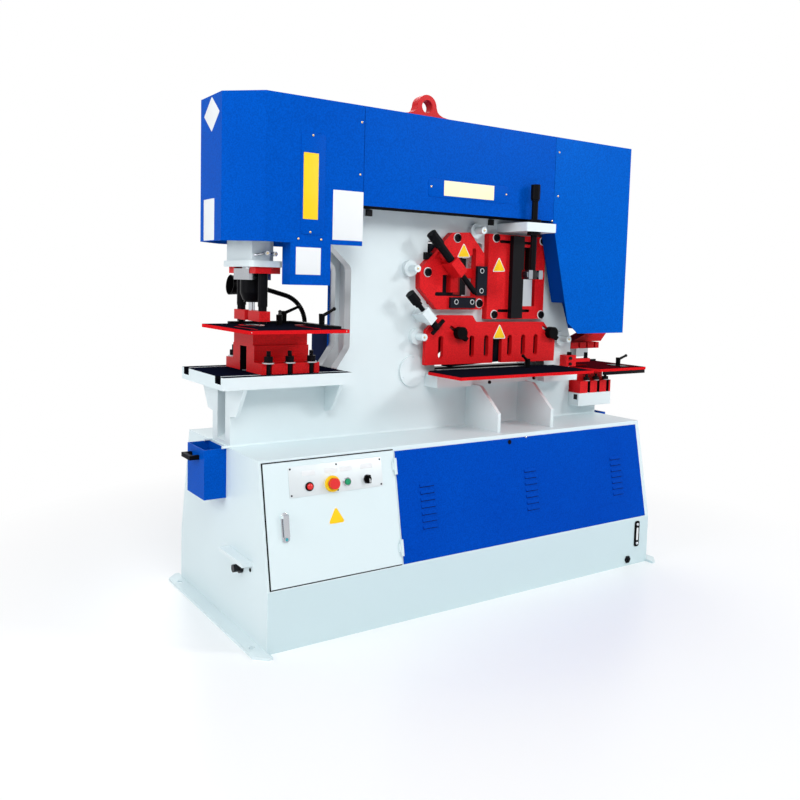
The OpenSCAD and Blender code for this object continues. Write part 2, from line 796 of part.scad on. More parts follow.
// Clamp lever that turns on a stud: hub, raised arm and round end
module clamp_lever(x, y, z, turn, reach, tilt = 65) {
    color([0.08, 0.08, 0.09])
        translate([x, y, z])
            rotate([0, 0, turn])
                difference() {
                    union() {
                        cylinder(d1 = 22, d2 = 24, h = 40, $fn = 48);
                        translate([0, 0, 30])
                            rotate([0, tilt, 0])
                                cylinder(d1 = 14, d2 = 11, h = reach, $fn = 48);
                        translate([0, 0, 30])
                            rotate([0, tilt, 0])
                                translate([0, 0, reach])
                                    sphere(d = 15, $fn = 48);
                    }
                    translate([0, 0, -1])
                        cylinder(d = lever_d + 2 * slide_clear, h = 27.5, $fn = 48);
                }
}
module fence_lever_right() {
    p = lever_spots[0];
    clamp_lever(p[0], p[1], punch_table_z + face_gap + fence_t + face_gap, 10, 66);
}
module fence_lever_left() {
    p = lever_spots[1];
    clamp_lever(p[0], p[1], punch_table_z + face_gap, 60, 45);
}
module fence_lever_rear() {
    p = lever_spots[2];
    clamp_lever(p[0], p[1], punch_table_z + face_gap + fence_t + face_gap, -20, 66);
}
module ram_housing() {
    z0 = arm_low - 89;
    color([0.93, 0.96, 0.97])
        difference() {
            union() {
                block(punch_x - 54, punch_x + 17, mid_y - 117, mid_y + 117, z0, arm_low);
                block(punch_x - 50, punch_x + 50, mid_y - 77, mid_y + 77, z0, arm_low);
                plate_xy([
                    [punch_x - 52, mid_y - 131], [punch_x + 52, mid_y - 131], [punch_x + 66, mid_y - 118],
                    [punch_x + 66, mid_y + 118], [punch_x + 52, mid_y + 131], [punch_x - 52, mid_y + 131],
                    [punch_x - 66, mid_y + 118], [punch_x - 66, mid_y - 118]
                ], flange_z0, flange_z1 - flange_z0);
            }
            rod_z(punch_x, mid_y, flange_z0 - 1, arm_low + 1, ram_d);
        }
}
module stripper_carrier() {
    n = ram_block[1] / 2 + 1.5;
    color([0.87, 0.12, 0.13])
        plate_xy([
            [punch_x - 42, mid_y - 123], [punch_x + 20, mid_y - 123], [punch_x + 75, mid_y - 87],
            [punch_x + 75, mid_y + 87], [punch_x + 20, mid_y + 123], [punch_x - 42, mid_y + 123],
            [punch_x - 42, mid_y + n], [punch_x + 46, mid_y + n], [punch_x + 46, mid_y - n],
            [punch_x - 42, mid_y - n]
        ], carrier_z0, flange_z0 - carrier_z0);
}
module stripper_posts() {
    shoulder = bar_z1 + 17;
    color([0.1, 0.1, 0.12])
        for (s = [-1, 1]) {
            y = mid_y + s * post_off;
            rod_z(punch_x, y, shoulder, carrier_z0, post_d);
            rod_z(punch_x, y, bar_z0 - 9, shoulder, stud_d);
            difference() {
                hex_z(punch_x, y, bar_z1, 17, 30);
                rod_z(punch_x, y, bar_z1 - 1, shoulder + 1, stud_d - 0.5);
            }
            difference() {
                hex_z(punch_x, y, bar_z0 - 8, 8, 30);
                rod_z(punch_x, y, bar_z0 - 9, bar_z0 + 1, stud_d - 0.5);
            }
        }
}
module stripper_bar() {
    color([0.87, 0.12, 0.13])
        difference() {
            block(punch_x - 22, punch_x + 22, mid_y - 117, mid_y + 117, bar_z0, bar_z1);
            rod_z(punch_x, mid_y, bar_z0 - 1, bar_z1 + 1, punch_d + 8);
            block(punch_x - 23, punch_x, mid_y - punch_d / 2 - 4, mid_y + punch_d / 2 + 4, bar_z0 - 1,
                bar_z1 + 1);
            for (s = [-1, 1])
                rod_z(punch_x, mid_y + s * post_off, bar_z0 - 1, bar_z1 + 1, stud_d + 0.4);
        }
}
head_d = punch_d + 8;
module punch_ram() {
    color([0.75, 0.77, 0.8])
        union() {
            rod_z(punch_x, mid_y, ram_low + 40, arm_low + 30, ram_d - 2 * ram_clear);
            rod_z(punch_x, mid_y, arm_low + 28, cyl_seat + 180, rod_d);
            block(punch_x - ram_block[0] / 2, punch_x + ram_block[0] / 2,
                mid_y - ram_block[1] / 2, mid_y + ram_block[1] / 2, ram_low, ram_low + 42);
            rod_z(punch_x, mid_y, nut_z0 + 40, ram_low, 54);
        }
}
module punch_nut() {
    color([0.12, 0.12, 0.14])
        difference() {
            union() {
                rod_z(punch_x, mid_y, ram_low - 48, ram_low, 90);
                translate([punch_x, mid_y, nut_z0 + 8])
                    cylinder(d1 = 68, d2 = 90, h = ram_low - 48 - nut_z0 - 8, $fn = 48);
                rod_z(punch_x, mid_y, nut_z0, nut_z0 + 8, 60);
            }
            rod_z(punch_x, mid_y, nut_z0 - 1, ram_low, punch_d + 0.6);
            rod_z(punch_x, mid_y, nut_z0 + 14, ram_low, head_d + 0.4);
            rod_z(punch_x, mid_y, nut_z0 + 40, ram_low + 1, 54);
        }
}
module punch() {
    color("silver")
        union() {
            rod_z(punch_x, mid_y, bar_z0 + 4, nut_z0 + 16, punch_d);
            rod_z(punch_x, mid_y, nut_z0 + 14, nut_z0 + 40, head_d);
        }
}

// ---------------------------------------------------------------- shears
section_opening = [
    [-68, section_z + 57], [147, section_z + 57], [147, section_z + 265], [127, section_z + 265],
    [127, section_z + 238], [112, section_z + 224], [52, section_z + 224], [52, section_z + 73],
    [14, section_z + 73], [14, section_z + 146], [-30, section_z + 146], [-30, section_z + 73],
    [-68, section_z + 73]
];
section_hole = [52, 127, section_z + 62, section_z + 220];
angle_opening = [417, 498, section_z + 16, section_z + 282];
angle_hole = [417, 472, section_z + 140, section_z + 276];
module section_plate() {
    // Plate with the openings for square, round, T and flange sections, and the hold-down's nut
    outline = [
        [-57, section_z], [185, section_z], [201, section_z + 20], [194, section_z + 243],
        [110, section_z + 330], [14, section_z + 325], [-150, section_z + 165], [-147, section_z + 87]
    ];
    color([0.87, 0.12, 0.13])
        union() {
            difference() {
                plate_xz(outline, station_y, station_t);
                plate_xz(rounded(section_opening, [6, 0, 9, 9, 0, 0, 0, 0, 0, 0, 0, 0, 6]),
                    station_y - 1, station_t + 2);
            }
            difference() {
                union() {
                    translate([section_clamp[0], section_clamp_y - 27, section_clamp[1]])
                        rotate([0, 45, 0])
                            translate([-38, 0, -24])
                                cube([76, station_y - 6 - section_clamp_y + 27, 44]);
                    translate([section_clamp[0], station_y - 14, section_clamp[1]])
                        rotate([0, 45, 0])
                            translate([-80, 0, -10])
                                cube([137, 16, 49]);
                }
                diag_rod(section_clamp, section_clamp_y, -60, 60, section_clamp_d + 2 * slide_clear);
            }
        }
}
module fixed_blades() {
    color([0.2, 0.2, 0.22]) {
        // Blades screwed on the front of the section plate
        difference() {
            plate_xz(rect_points(7, 141, section_z + 7, section_z + 52), station_y - 14, 14);
            for (x = [36, 122])
                rod_y(x, section_z + 33, station_y - 15, station_y - 9, 17);
        }
        difference() {
            plate_xz(rect_points(147.5, 202, section_z + 61, section_z + 188), station_y - 14, 14);
            for (z = [82, 168])
                rod_y(172, section_z + z, station_y - 15, station_y - 9, 17);
        }
        // Lower blade of the flat shear, on the blocks under the table
        block(-36, 606, front_y - 25, front_y, table_z - blade_h, table_z);
    }
    color("silver")
        block(428, 484, station_y + 4, front_y, section_z + 16, section_z + 137);
}
module angle_plate() {
    color([0.87, 0.12, 0.13])
        difference() {
            plate_xz(rect_points(217, 555, section_z - 42, section_z + 331), station_y, station_t);
            plate_xz(rect_points(angle_opening[0], angle_opening[1], angle_opening[2], angle_opening[3]),
                station_y - 1, station_t + 2);
            for (z = [section_z - 5, section_z + 300])
                plate_xz(slot_points([286, z], [462, z], 13), station_y - 1, 13);
        }
    // Rest that slides along the two slots
    color([0.12, 0.12, 0.14])
        block(339, 405, station_y - 24, station_y, section_z - 38, section_z + 327);
}
bolt_spots = [
    [258, section_z + 315], [537, section_z + 313], [259, section_z - 22], [540, section_z - 23],
    [42, section_z + 304], [-109, section_z + 155], [172, section_z + 27]
];
module station_bolts() {
    color([0.12, 0.12, 0.14]) {
        for (p = bolt_spots)
            difference() {
                rod_y(p[0], p[1], station_y - 7, station_y, 34);
                rod_y(p[0], p[1], station_y - 8, station_y - 2, 22);
            }
        // Studs and distance sleeves of the guard
        for (p = knob_spots) {
            rod_y(p[0], p[1], guard_y + guard_t + face_gap, front_y, 26);
            rod_y(p[0], p[1], guard_y - 26, guard_y + guard_t + 1, knob_bore);
        }
        // Collars of the angle hold-down, above and below its arm
        for (z = [[arm_z + arm_t, arm_z + arm_t + 14], [arm_z - 14, arm_z]])
            difference() {
                rod_z(clamp_x, clamp_y, z[0], z[1], 58);
                rod_z(clamp_x, clamp_y, z[0] - 1, z[1] + 1, clamp_d + 2 * slide_clear);
            }
    }
}
module shear_table() {
    lever = [428, front_y - 79];
    color([0.87, 0.12, 0.13])
        plate_xy([
            [-112, front_y - 60], [-112, front_y - shear_table_depth], [641, front_y - shear_table_depth],
            [641, front_y - 25.3], [-80, front_y - 25.3]
        ], table_z - table_t, table_t);
    color([0.15, 0.15, 0.17])
        rod_z(lever[0], lever[1], table_z, table_z + 26, lever_d);
}
module shear_lever() {
    clamp_lever(428, front_y - 79, table_z + face_gap, 205, 62);
}

// Guard with round-ended slots, moved along two diagonal slots and held by two knobs
knob_spots = [[48, section_z - 99], [582, section_z - 104]];
knob_bore = 12;
guard_dir = [47, -30] / norm([47, -30]);
guard_back = 45;
module flat_guard() {
    low = table_z + 23;
    outline = [
        [-124, low + 4], [617, low], [620, section_z - 132], [543, section_z - 55],
        [146, section_z - 53], [123, section_z - 24], [-52, section_z - 23], [-122, section_z - 87]
    ];
    color([0.87, 0.12, 0.13])
        difference() {
            plate_xz(rounded(outline, [0, 0, 0, 8, 8, 8, 0, 0]), guard_y, guard_t);
            for (x = [-44, 124, 205, 341, 422, 498])
                plate_xz(slot_points([x, section_z - 193], [x, section_z - 124], 26), guard_y - 1,
                    guard_t + 2);
            block(243, 295, guard_y - 1, guard_y + guard_t + 1, low - 1, section_z - 124);
            for (p = knob_spots)
                plate_xz(slot_points(p, p - guard_back * guard_dir, knob_bore + 4), guard_y - 1, guard_t + 2);
        }
}
// Star knob with a wing, turning on its stud
module guard_knob(p) {
    y1 = guard_y - face_gap;
    color([0.1, 0.1, 0.12])
        difference() {
            union() {
                rod_y(p[0], p[1], y1 - 30, y1, 54);
                translate([p[0], y1 - 24, p[1]])
                    rotate([0, 42, 0])
                        translate([0, 0, -9])
                            cube([44, 18, 18]);
            }
            rod_y(p[0], p[1], y1 - 27, y1 + 1, knob_bore + 2 * slide_clear);
        }
}
module guard_knob_left() {
    guard_knob(knob_spots[0]);
}
module guard_knob_right() {
    guard_knob(knob_spots[1]);
}
module section_screw() {
    c = section_clamp;
    y = section_clamp_y;
    color([0.1, 0.1, 0.12])
        union() {
            diag_rod(c, y, -188, -124, 43);
            diag_rod(c, y, -126, -39, 35);
            diag_rod(c, y, -40, 148, section_clamp_d);
            translate([c[0], y, c[1]])
                rotate([0, 135, 0])
                    translate([0, 0, 148])
                        cylinder(d1 = section_clamp_d, d2 = 8, h = 12, $fn = 48);
        }
}
module angle_screw() {
    color([0.1, 0.1, 0.12])
        union() {
            rod_z(clamp_x, clamp_y, base_h + 991, base_h + 1053, 40);
            rod_z(clamp_x, clamp_y, base_h + 984, base_h + 992, 34);
            rod_z(clamp_x, clamp_y, base_h + 687, base_h + 993, clamp_d);
        }
}
module angle_foot() {
    z0 = base_h + 649;
    color([0.6, 0.6, 0.62])
        difference() {
            union() {
                block(clamp_x - 46, clamp_x + 46, clamp_y - 18, clamp_y + 18, z0 + 8, z0 + 30);
                block(clamp_x - 40, clamp_x - 18, clamp_y - 22, clamp_y + 22, z0, z0 + 38);
                block(clamp_x + 18, clamp_x + 40, clamp_y - 22, clamp_y + 22, z0, z0 + 38);
                rod_z(clamp_x, clamp_y, z0, z0 + 38, 38);
            }
            rod_z(clamp_x, clamp_y, z0 + 12, z0 + 39, clamp_d);
        }
    color([0.6, 0.6, 0.62])
        rod_z(clamp_x, clamp_y, z0 + 12, base_h + 687, clamp_d);
}
module flat_screw() {
    c = flat_clamp;
    y = flat_clamp_y;
    color([0.1, 0.1, 0.12])
        union() {
            diag_rod(c, y, -129, -79, 40);
            diag_rod(c, y, -80, -62, 30);
            diag_rod(c, y, -63, 78, flat_clamp_d);
            diag_rod(c, y, 39, 72, 30);
            // Cross foot of the clamp
            translate([c[0], y, c[1]])
                rotate([0, 135, 0])
                    translate([-46, -7, 66])
                        cube([80, 14, 12]);
        }
}

// Moving beam between the frame plates, with its blades
beam_t = plate_gap - 6;
beam_y = mid_y - beam_t / 2;
module shear_beam() {
    nose = base_h + 351;
    outline = [
        [-240, pivot_z - 85], [-60, pivot_z - 85], [10, table_z + 55], [30, table_z + 70],
        [600, table_z + 80],
        [640, base_h + 430], [738, base_h + 560], [870, base_h + 560], [946, nose + 120], [946, nose + 42],
        [842, nose + 3], [842, nose], [right_x + 70, nose], [right_x + 106, nose + 39],
        [right_x + 106, nose + 43], [right_x + 3, nose + 43], [right_x - 12, nose + 146],
        [right_x - 40, base_h + 650],
        [640, base_h + 767], [480, beam_top], [60, beam_top], [-60, base_h + 347], [-240, base_h + 347]
    ];
    color([0.87, 0.12, 0.13])
        difference() {
            plate_xz(outline, beam_y, beam_t);
            rod_y(pivot_x, pivot_z, beam_y - 1, beam_y + beam_t + 1, pivot_d + 2 * pivot_clear);
            for (w = [section_hole, angle_hole])
                plate_xz(rect_points(w[0] - 8, w[1] + 8, w[2] - 8, w[3] + 8), beam_y - 1, beam_t + 2);
        }
}
module moving_blades() {
    y0 = front_y + 0.4;
    t = beam_y - y0;
    color([0.3, 0.3, 0.33]) {
        difference() {
            plate_xz(rect_points(-80, 168, section_z + 38, section_z + 276), y0, t);
            plate_xz(rect_points(section_hole[0], section_hole[1], section_hole[2], section_hole[3]),
                y0 - 1, t + 2);
        }
        difference() {
            plate_xz(rect_points(300, 472, section_z + 20, section_z + 300), y0, t);
            plate_xz(rect_points(angle_hole[0], angle_hole[1] + 1, angle_hole[2], angle_hole[3]),
                y0 - 1, t + 2);
        }
        plate_xz([
            [40, table_z + 9], [590, table_z + 37], [590, table_z + 130], [40, table_z + 130]
        ], y0, t);
    }
}
module shear_rod() {
    color([0.75, 0.77, 0.8])
        rod_z(shear_cyl_x, mid_y, beam_top + face_gap, cyl_seat + 180, rod_d);
}

// ---------------------------------------------------------------- notcher
notch_x = right_x - 65;
notch_half = 45;
notch_deep = 40;
notch_block_z = base_h + 169;
notch_opening = [notch_x - notch_half, notch_x + notch_half, mid_y - notch_deep, mid_y + notch_deep];
module notch_cut(grow, z0, z1) {
    o = notch_opening;
    block(o[0] - grow, o[1] + grow, o[2] - grow, o[3] + grow, z0, z1);
}
module notcher_bed() {
    color([0.93, 0.96, 0.97])
        difference() {
            block(right_x - 194, right_x + 28, mid_y - 151, mid_y + 151, notch_step_z, notch_bed_z);
            notch_cut(6, notch_step_z - 1, notch_bed_z + 1);
        }
}
module notcher_die() {
    x0 = right_x - 180;
    x1 = right_x + 31;
    spots = [x0 + 60, x0 + 125, x0 + 190];
    color([0.87, 0.12, 0.13])
        difference() {
            union() {
                block(x0, x1, mid_y - 146, mid_y + 146, notch_bed_z, notch_block_z);
                block(x0 + 14, x1 - 12, mid_y - 100, mid_y + 100, notch_block_z, notch_table_z - 13);
            }
            notch_cut(0, notch_bed_z - 1, notch_table_z);
            for (x = spots, s = [-1, 1])
                block(x - 9, x + 9, s < 0 ? mid_y - 147 : mid_y + 118, s < 0 ? mid_y - 118 : mid_y + 147,
                    notch_bed_z - 1, notch_block_z + 1);
        }
    // Bolts that hold the die down
    color([0.12, 0.12, 0.14])
        for (x = spots, s = [-1, 1]) {
            y = mid_y + s * 128;
            rod_z(x, y, notch_bed_z, notch_block_z + 32, 14);
            difference() {
                union() {
                    rod_z(x, y, notch_block_z, notch_block_z + 3, 34);
                    hex_z(x, y, notch_block_z + 3, 14, 27);
                }
                rod_z(x, y, notch_block_z - 1, notch_block_z + 18, 13.5);
            }
        }
}
module notcher_table() {
    x0 = right_x - 144;
    x1 = right_x + 212;
    color([0.87, 0.12, 0.13])
        difference() {
            plate_xy([
                [x0, mid_y - 137], [x0 + 30, mid_y - 207], [x1, mid_y - 207], [x1, mid_y + 175],
                [x0, mid_y + 175]
            ], notch_table_z - 13, 13);
            notch_cut(0, notch_table_z - 14, notch_table_z + 1);
        }
    color([0.15, 0.15, 0.17])
        rod_z(right_x + 120, mid_y - 110, notch_table_z, notch_table_z + 26, lever_d);
}
module notch_lever() {
    clamp_lever(right_x + 120, mid_y - 110, notch_table_z + face_gap, 12, 78, 78);
}
module notcher_guide() {
    // Bracket on the front of the frame that guides the holder
    x0 = notch_step_x - 67;
    color([0.87, 0.12, 0.13])
        union() {
            block(x0, x0 + 63, front_y - 45, front_y, base_h + 242, base_h + 295);
            block(x0 + 55, x0 + 158, front_y - 45, front_y - 22, base_h + 262, base_h + 278);
        }
    color([0.12, 0.12, 0.14]) {
        for (z = [base_h + 255, base_h + 282])
            rod_y(x0 + 22, z, front_y - 53, front_y - 45, 15);
        rod_z(x0 + 140, front_y - 33, base_h + 278, base_h + 284, 20);
    }
}
module notcher_holder() {
    x0 = notch_step_x + 6;
    x1 = right_x + 2;
    y0 = front_y + 1;
    z1 = holder_z + holder_t;
    color([0.87, 0.12, 0.13])
        difference() {
            block(x0, x1, y0, mid_y + 95, holder_z, z1);
            for (x = [x0 + 50, x0 + 103, x0 + 156])
                block(x, x + 12, y0 - 1, y0 + 22, holder_z - 1, z1 + 1);
        }
    // Notching blade
    color([0.5, 0.5, 0.52])
        block(notch_x - notch_half + 4, notch_x + notch_half - 4, mid_y - notch_deep + 0.5,
            mid_y + notch_deep - 0.5,
            notch_table_z + 45, holder_z);
}

// ---------------------------------------------------------------- lamp
module work_lamp() {
    y = mid_y + 190;
    a = [throat_x - 85, bed_top + 14];
    b = a + [25, 126];
    r = 125;
    c = b + r * [cos(170), sin(170)];
    e = c + r * [cos(75), sin(75)];
    far = 110;
    color([0.08, 0.08, 0.1])
        union() {
            rod_z(a[0], y, bed_top, bed_top + 24, 32);
            stick(a, b + 3 * unit(b - a), y, 14);
            // Bend of the flexible arm
            translate([c[0], y, c[1]])
                rotate([90, 0, 0])
                    rotate([0, 0, -10])
                        rotate_extrude(angle = 85, $fn = 64)
                            translate([r, 0])
                                circle(d = 17, $fn = 24);
            stick(e - 3 * [cos(165), sin(165)], e + far * [cos(165), sin(165)], y, 14);
            // Lamp holder and shade
            translate([e[0] + (far - 5) * cos(165), y, e[1] + (far - 5) * sin(165)])
                rotate([0, -85, 0])
                    difference() {
                        union() {
                            cylinder(d = 46, h = 44, $fn = 64);
                            translate([0, 0, 40])
                                cylinder(d1 = 54, d2 = 80, h = 104, $fn = 64);
                        }
                        translate([0, 0, 70])
                            cylinder(d1 = 52, d2 = 76, h = 80, $fn = 64);
                    }
        }
}
// Round stick from point a to point b of the plane at y
module stick(a, b, y, d) {
    translate([a[0], y, a[1]])
        rotate([0, 90 - atan2(b[1] - a[1], b[0] - a[0]), 0])
            cylinder(d = d, h = norm(b - a) + 1, $fn = 24);
}

// ---------------------------------------------------------------- door and controls
row_z = -107;
lock_x = left_x + 81;
module control_hole(x, d) {
    rod_y(x, row_z, -20, door_t + 5, d);
}
knob_at = [left_x + 186, left_x + 276, left_x + 340, left_x + 426];
module door() {
    x0 = left_x + 14;
    skin = 3;
    color([0.93, 0.96, 0.97])
        on_slope()
            difference() {
                union() {
                    difference() {
                        block(x0, door_x1, -door_out, door_t - door_out, door_z0, door_z1);
                        block(x0 + skin, door_x1 - skin, skin - door_out, door_t, door_z0 + skin,
                            door_z1 - skin);
                    }
                    for (z = hinge_spots) {
                        rod_z(hinge_x, hinge_y, z - knuckle_h / 2, z + knuckle_h / 2, 2 * hinge_r);
                        block(door_x1 - 10, hinge_x, hinge_y, -door_out + 0.5, z - knuckle_h / 2,
                            z + knuckle_h / 2);
                    }
                    // Round plate under the stop button
                    rod_y(knob_at[1], row_z, -door_out - 3, -door_out, 60);
                    // Plate under the lock
                    block(lock_x - 15, lock_x + 15, -door_out - 3, -door_out, -280, -185);
                }
                for (z = hinge_spots)
                    rod_z(hinge_x, hinge_y, z - knuckle_h / 2 - 1, z + knuckle_h / 2 + 1,
                        6 + 2 * slide_clear);
                control_hole(knob_at[1], 22 + 2 * slide_clear);
                control_hole(knob_at[2], 22 + 2 * slide_clear);
                control_hole(knob_at[3], 22 + 2 * slide_clear);
            }
    color([0.93, 0.96, 0.97])
        on_slope()
            for (s = [-1, 1])
                block(lock_x + s * 13 - 2, lock_x + s * 13 + 2, -door_out - 17, -door_out - 3, -203, -192);
    color([0.2, 0.2, 0.2])
        on_slope()
            latch_pin(lock_x - 13, lock_x + 13);
}
latch_y = -door_out - 11;
latch_z = -197;
module latch_pin(x0, x1) {
    rod_x(latch_y, latch_z, x0, x1, 5);
}
module latch_handle() {
    color([0.08, 0.08, 0.09])
        on_slope()
            difference() {
                union() {
                    block(lock_x - 10.5, lock_x + 10.5, latch_y - 4, latch_y + 4, -268, latch_z);
                    rod_x(latch_y, latch_z, lock_x - 10.5, lock_x + 10.5, 8);
                }
                rod_x(latch_y, latch_z, lock_x - 12, lock_x + 12, 5 + 2 * slide_clear);
            }
}
module estop_button() {
    color([0.85, 0.1, 0.1])
        on_slope()
            union() {
                rod_y(knob_at[1], row_z, -door_out - 30, -door_out - 16, 40);
                rod_y(knob_at[1], row_z, -door_out - 17, 12, 22);
            }
}
module start_button() {
    color([0.1, 0.6, 0.3])
        on_slope()
            rod_y(knob_at[2], row_z, -door_out - 9, 12, 22);
}
module selector_knob() {
    color([0.1, 0.1, 0.1])
        on_slope()
            union() {
                rod_y(knob_at[3], row_z, -door_out - 9, -door_out - 0.3, 30);
                rod_y(knob_at[3], row_z, -door_out - 10, 12, 22);
                block(knob_at[3] - 5, knob_at[3] + 5, -door_out - 22, -door_out - 8, row_z - 15, row_z + 15);
            }
}

// ---------------------------------------------------------------- build
base_cabinet();
louvre_panel();
scrap_box();
power_inlet();
power_pack();
frame_front_plate();
frame_rear_plate();
frame_webs();
frame_brackets();
pivot_pin();
tie_studs();
punch_bed();
notcher_bed();
left_cover();
middle_cover();
right_cover();
lifting_eye();
cylinder_barrels();
ram_housing();
stripper_carrier();
stripper_posts();
stripper_bar();
die_bolster();
clamp_bolts();
punch_die();
punch_table();
section_plate();
fixed_blades();
angle_plate();
station_bolts();
shear_table();
notcher_die();
notcher_table();
notcher_guide();
work_lamp();
door();
latch_handle();
estop_button();
start_button();
selector_knob();
punch_ram();
punch_nut();
punch();
shear_beam();
notcher_holder();
moving_blades();
shear_rod();
section_screw();
angle_screw();
angle_foot();
flat_screw();
flat_guard();
guard_knob_left();
guard_knob_right();
table_fence();
fence_lever_left();
fence_lever_right();
fence_lever_rear();
shear_lever();
notch_lever();
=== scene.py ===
"""Looks of a hydraulic ironworker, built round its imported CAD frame.

Sizes are millimetres in the frame's own axes, and become metres where a mesh is made:
X along the machine, the operator's side towards -Y, Z up. Each sub-assembly is a class:
its sizes are fields, its methods make meshes with numpy and dress them. Shapes are
functions of two parameters on a grid, or outlines carried through a stack of rings.
"""

import logging
import math
from dataclasses import dataclass, replace
from enum import Enum

import bpy
import numpy as np
from mathutils import Matrix, Vector


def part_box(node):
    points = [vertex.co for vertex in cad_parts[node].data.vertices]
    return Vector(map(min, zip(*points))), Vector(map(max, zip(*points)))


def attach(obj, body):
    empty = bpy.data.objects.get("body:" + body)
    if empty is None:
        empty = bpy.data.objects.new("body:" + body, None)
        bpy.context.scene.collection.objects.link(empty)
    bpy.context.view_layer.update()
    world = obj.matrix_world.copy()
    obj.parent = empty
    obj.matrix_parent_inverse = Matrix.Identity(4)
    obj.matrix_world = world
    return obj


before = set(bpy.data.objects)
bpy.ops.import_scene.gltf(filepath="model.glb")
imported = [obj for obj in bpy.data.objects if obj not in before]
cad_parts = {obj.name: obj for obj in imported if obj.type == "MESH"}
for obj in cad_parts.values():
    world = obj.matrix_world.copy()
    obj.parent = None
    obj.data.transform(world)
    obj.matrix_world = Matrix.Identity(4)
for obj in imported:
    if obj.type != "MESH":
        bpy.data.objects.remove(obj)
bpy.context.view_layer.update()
LOG = logging.getLogger("ironworker")
MM = 0.001
# The cabinet's front leans by SLOPE about the line through SLOPE_TOP, and LEAN is that turn about X.
SLOPE = math.radians(-11.31)
SLOPE_TOP = (0.0, -335.0, 653.0)
LEAN = np.array([[1, 0, 0], [0, math.cos(SLOPE), -math.sin(SLOPE)], [0, math.sin(SLOPE), math.cos(SLOPE)]])

Grid = np.ndarray
Outline = np.ndarray
Pair = tuple[float, float]
Triple = tuple[float, float, float]
Tree = bpy.types.NodeTree
Socket = bpy.types.NodeSocket


class Axis(Enum):
    """Direction that a turned or raised piece points in."""

    LEFT = (-1.0, 0.0, 0.0)
    FRONT = (0.0, -1.0, 0.0)
    BACK = (0.0, 1.0, 0.0)
    UP = (0.0, 0.0, 1.0)


FRONT, BACK, LEFT, UP = (a.value for a in (Axis.FRONT, Axis.BACK, Axis.LEFT, Axis.UP))


# ------------------------------------------------------------------ meshes
@dataclass
class Shell:
    """Vertices and faces of one closed surface, in millimetres."""

    points: np.ndarray
    faces: list

    def placed(self, matrix: np.ndarray, shift: Triple) -> "Shell":
        """Copy of the shell, with each point multiplied by a 3x3 rotation and then shifted."""
        return Shell(self.points @ matrix.T + np.asarray(shift, float), self.faces)


def join(shells: list[Shell]) -> Shell:
    """Puts several shells in one, counting the faces of each on from the last.

    Args:
        shells: the shells, each closed in itself.

    Returns:
        One shell that holds them all.
    """
    points, faces, start = [], [], 0
    for shell in shells:
        points.append(shell.points)
        faces.extend([[i + start for i in f] for f in shell.faces])
        start += len(shell.points)
    return Shell(np.vstack(points), faces)


def ring_faces(rings: int, sides: int, wrap: bool = False) -> list:
    """Quads between successive rings of a stack, as a whole index array.

    Args:
        rings: number of rings.
        sides: points on each ring.
        wrap: joins the last ring to the first.

    Returns:
        List of four-cornered faces.
    """
    last = rings if wrap else rings - 1
    k = np.arange(last)[:, None]
    s = np.arange(sides)[None, :]
    nxt = (s + 1) % sides
    low = k * sides
    high = ((k + 1) % rings) * sides
    quads = np.stack(np.broadcast_arrays(low + s, low + nxt, high + nxt, high + s), axis=-1)
    return quads.reshape(-1, 4).tolist()


def stack(rings: Grid) -> Shell:
    """Surface through a stack of closed rings, p(u, v) = rings[v][u], ends closed flat.

    Args:
        rings: array of rings by points by three; rings run anticlockwise seen from the end.

    Returns:
        The shell, faces outwards when the stack rises along its rings' normal.
    """
    count, sides = rings.shape[:2]
    faces = ring_faces(count, sides)
    faces.append(list(range(sides))[::-1])
    faces.append(list(range((count - 1) * sides, count * sides)))
    return Shell(rings.reshape(-1, 3), faces)


def unit(vectors: np.ndarray) -> np.ndarray:
    """Vectors divided by their lengths, along the last axis."""
    return vectors / np.maximum(np.linalg.norm(vectors, axis=-1, keepdims=True), 1e-9)


def basis(direction: Triple) -> np.ndarray:
    """Right-handed axes whose third one lies along a direction: w, u = side x w and v = w x u.

    Args:
        direction: the way of the third axis.

    Returns:
        A 3x3 matrix with the axes as its columns.
    """
    w = unit(np.asarray(direction, float))
    side = np.array([0.0, 0.0, 1.0]) if abs(w[2]) < 0.9 else np.array([1.0, 0.0, 0.0])
    u = unit(np.cross(side, w))
    return np.stack([u, np.cross(w, u), w], axis=1)


def swept(profile: list, place: Triple, direction: Triple, sides: int,
          lobes: int = 0, depth: float = 0.0) -> Grid:
    """Sweep of a profile r(t), h(t) by the angle a: (r w cos a, r w sin a, h).

    The wave w(a) = 1 - depth (1 - cos n a) / 2 is one all round where there are no lobes.

    Args:
        profile: pairs of radius and height.
        place: point where the height is zero.
        direction: the axis that the height runs along.
        sides: points round the axis.
        lobes: number of waves round the axis, n.
        depth: share of the radius that the hollows of the waves take.

    Returns:
        The points, rings by sides by three.
    """
    section = np.asarray(profile, float)
    a = np.linspace(0.0, 2.0 * np.pi, sides, endpoint=False)
    wave = 1.0 - depth * (1.0 - np.cos(lobes * a)) / 2.0
    r, h = section[:, 0][:, None] * wave[None, :], section[:, 1][:, None]
    local = np.stack([r * np.cos(a), r * np.sin(a), h + 0.0 * a], axis=-1)
    return local @ basis(direction).T + np.asarray(place, float)


def turned(profile: list, place: Triple, direction: Triple = FRONT, sides: int = 40) -> Shell:
    """Turned piece: its profile, from the foot to the head, swept round the axis and closed flat."""
    return stack(swept(profile, place, direction, sides))


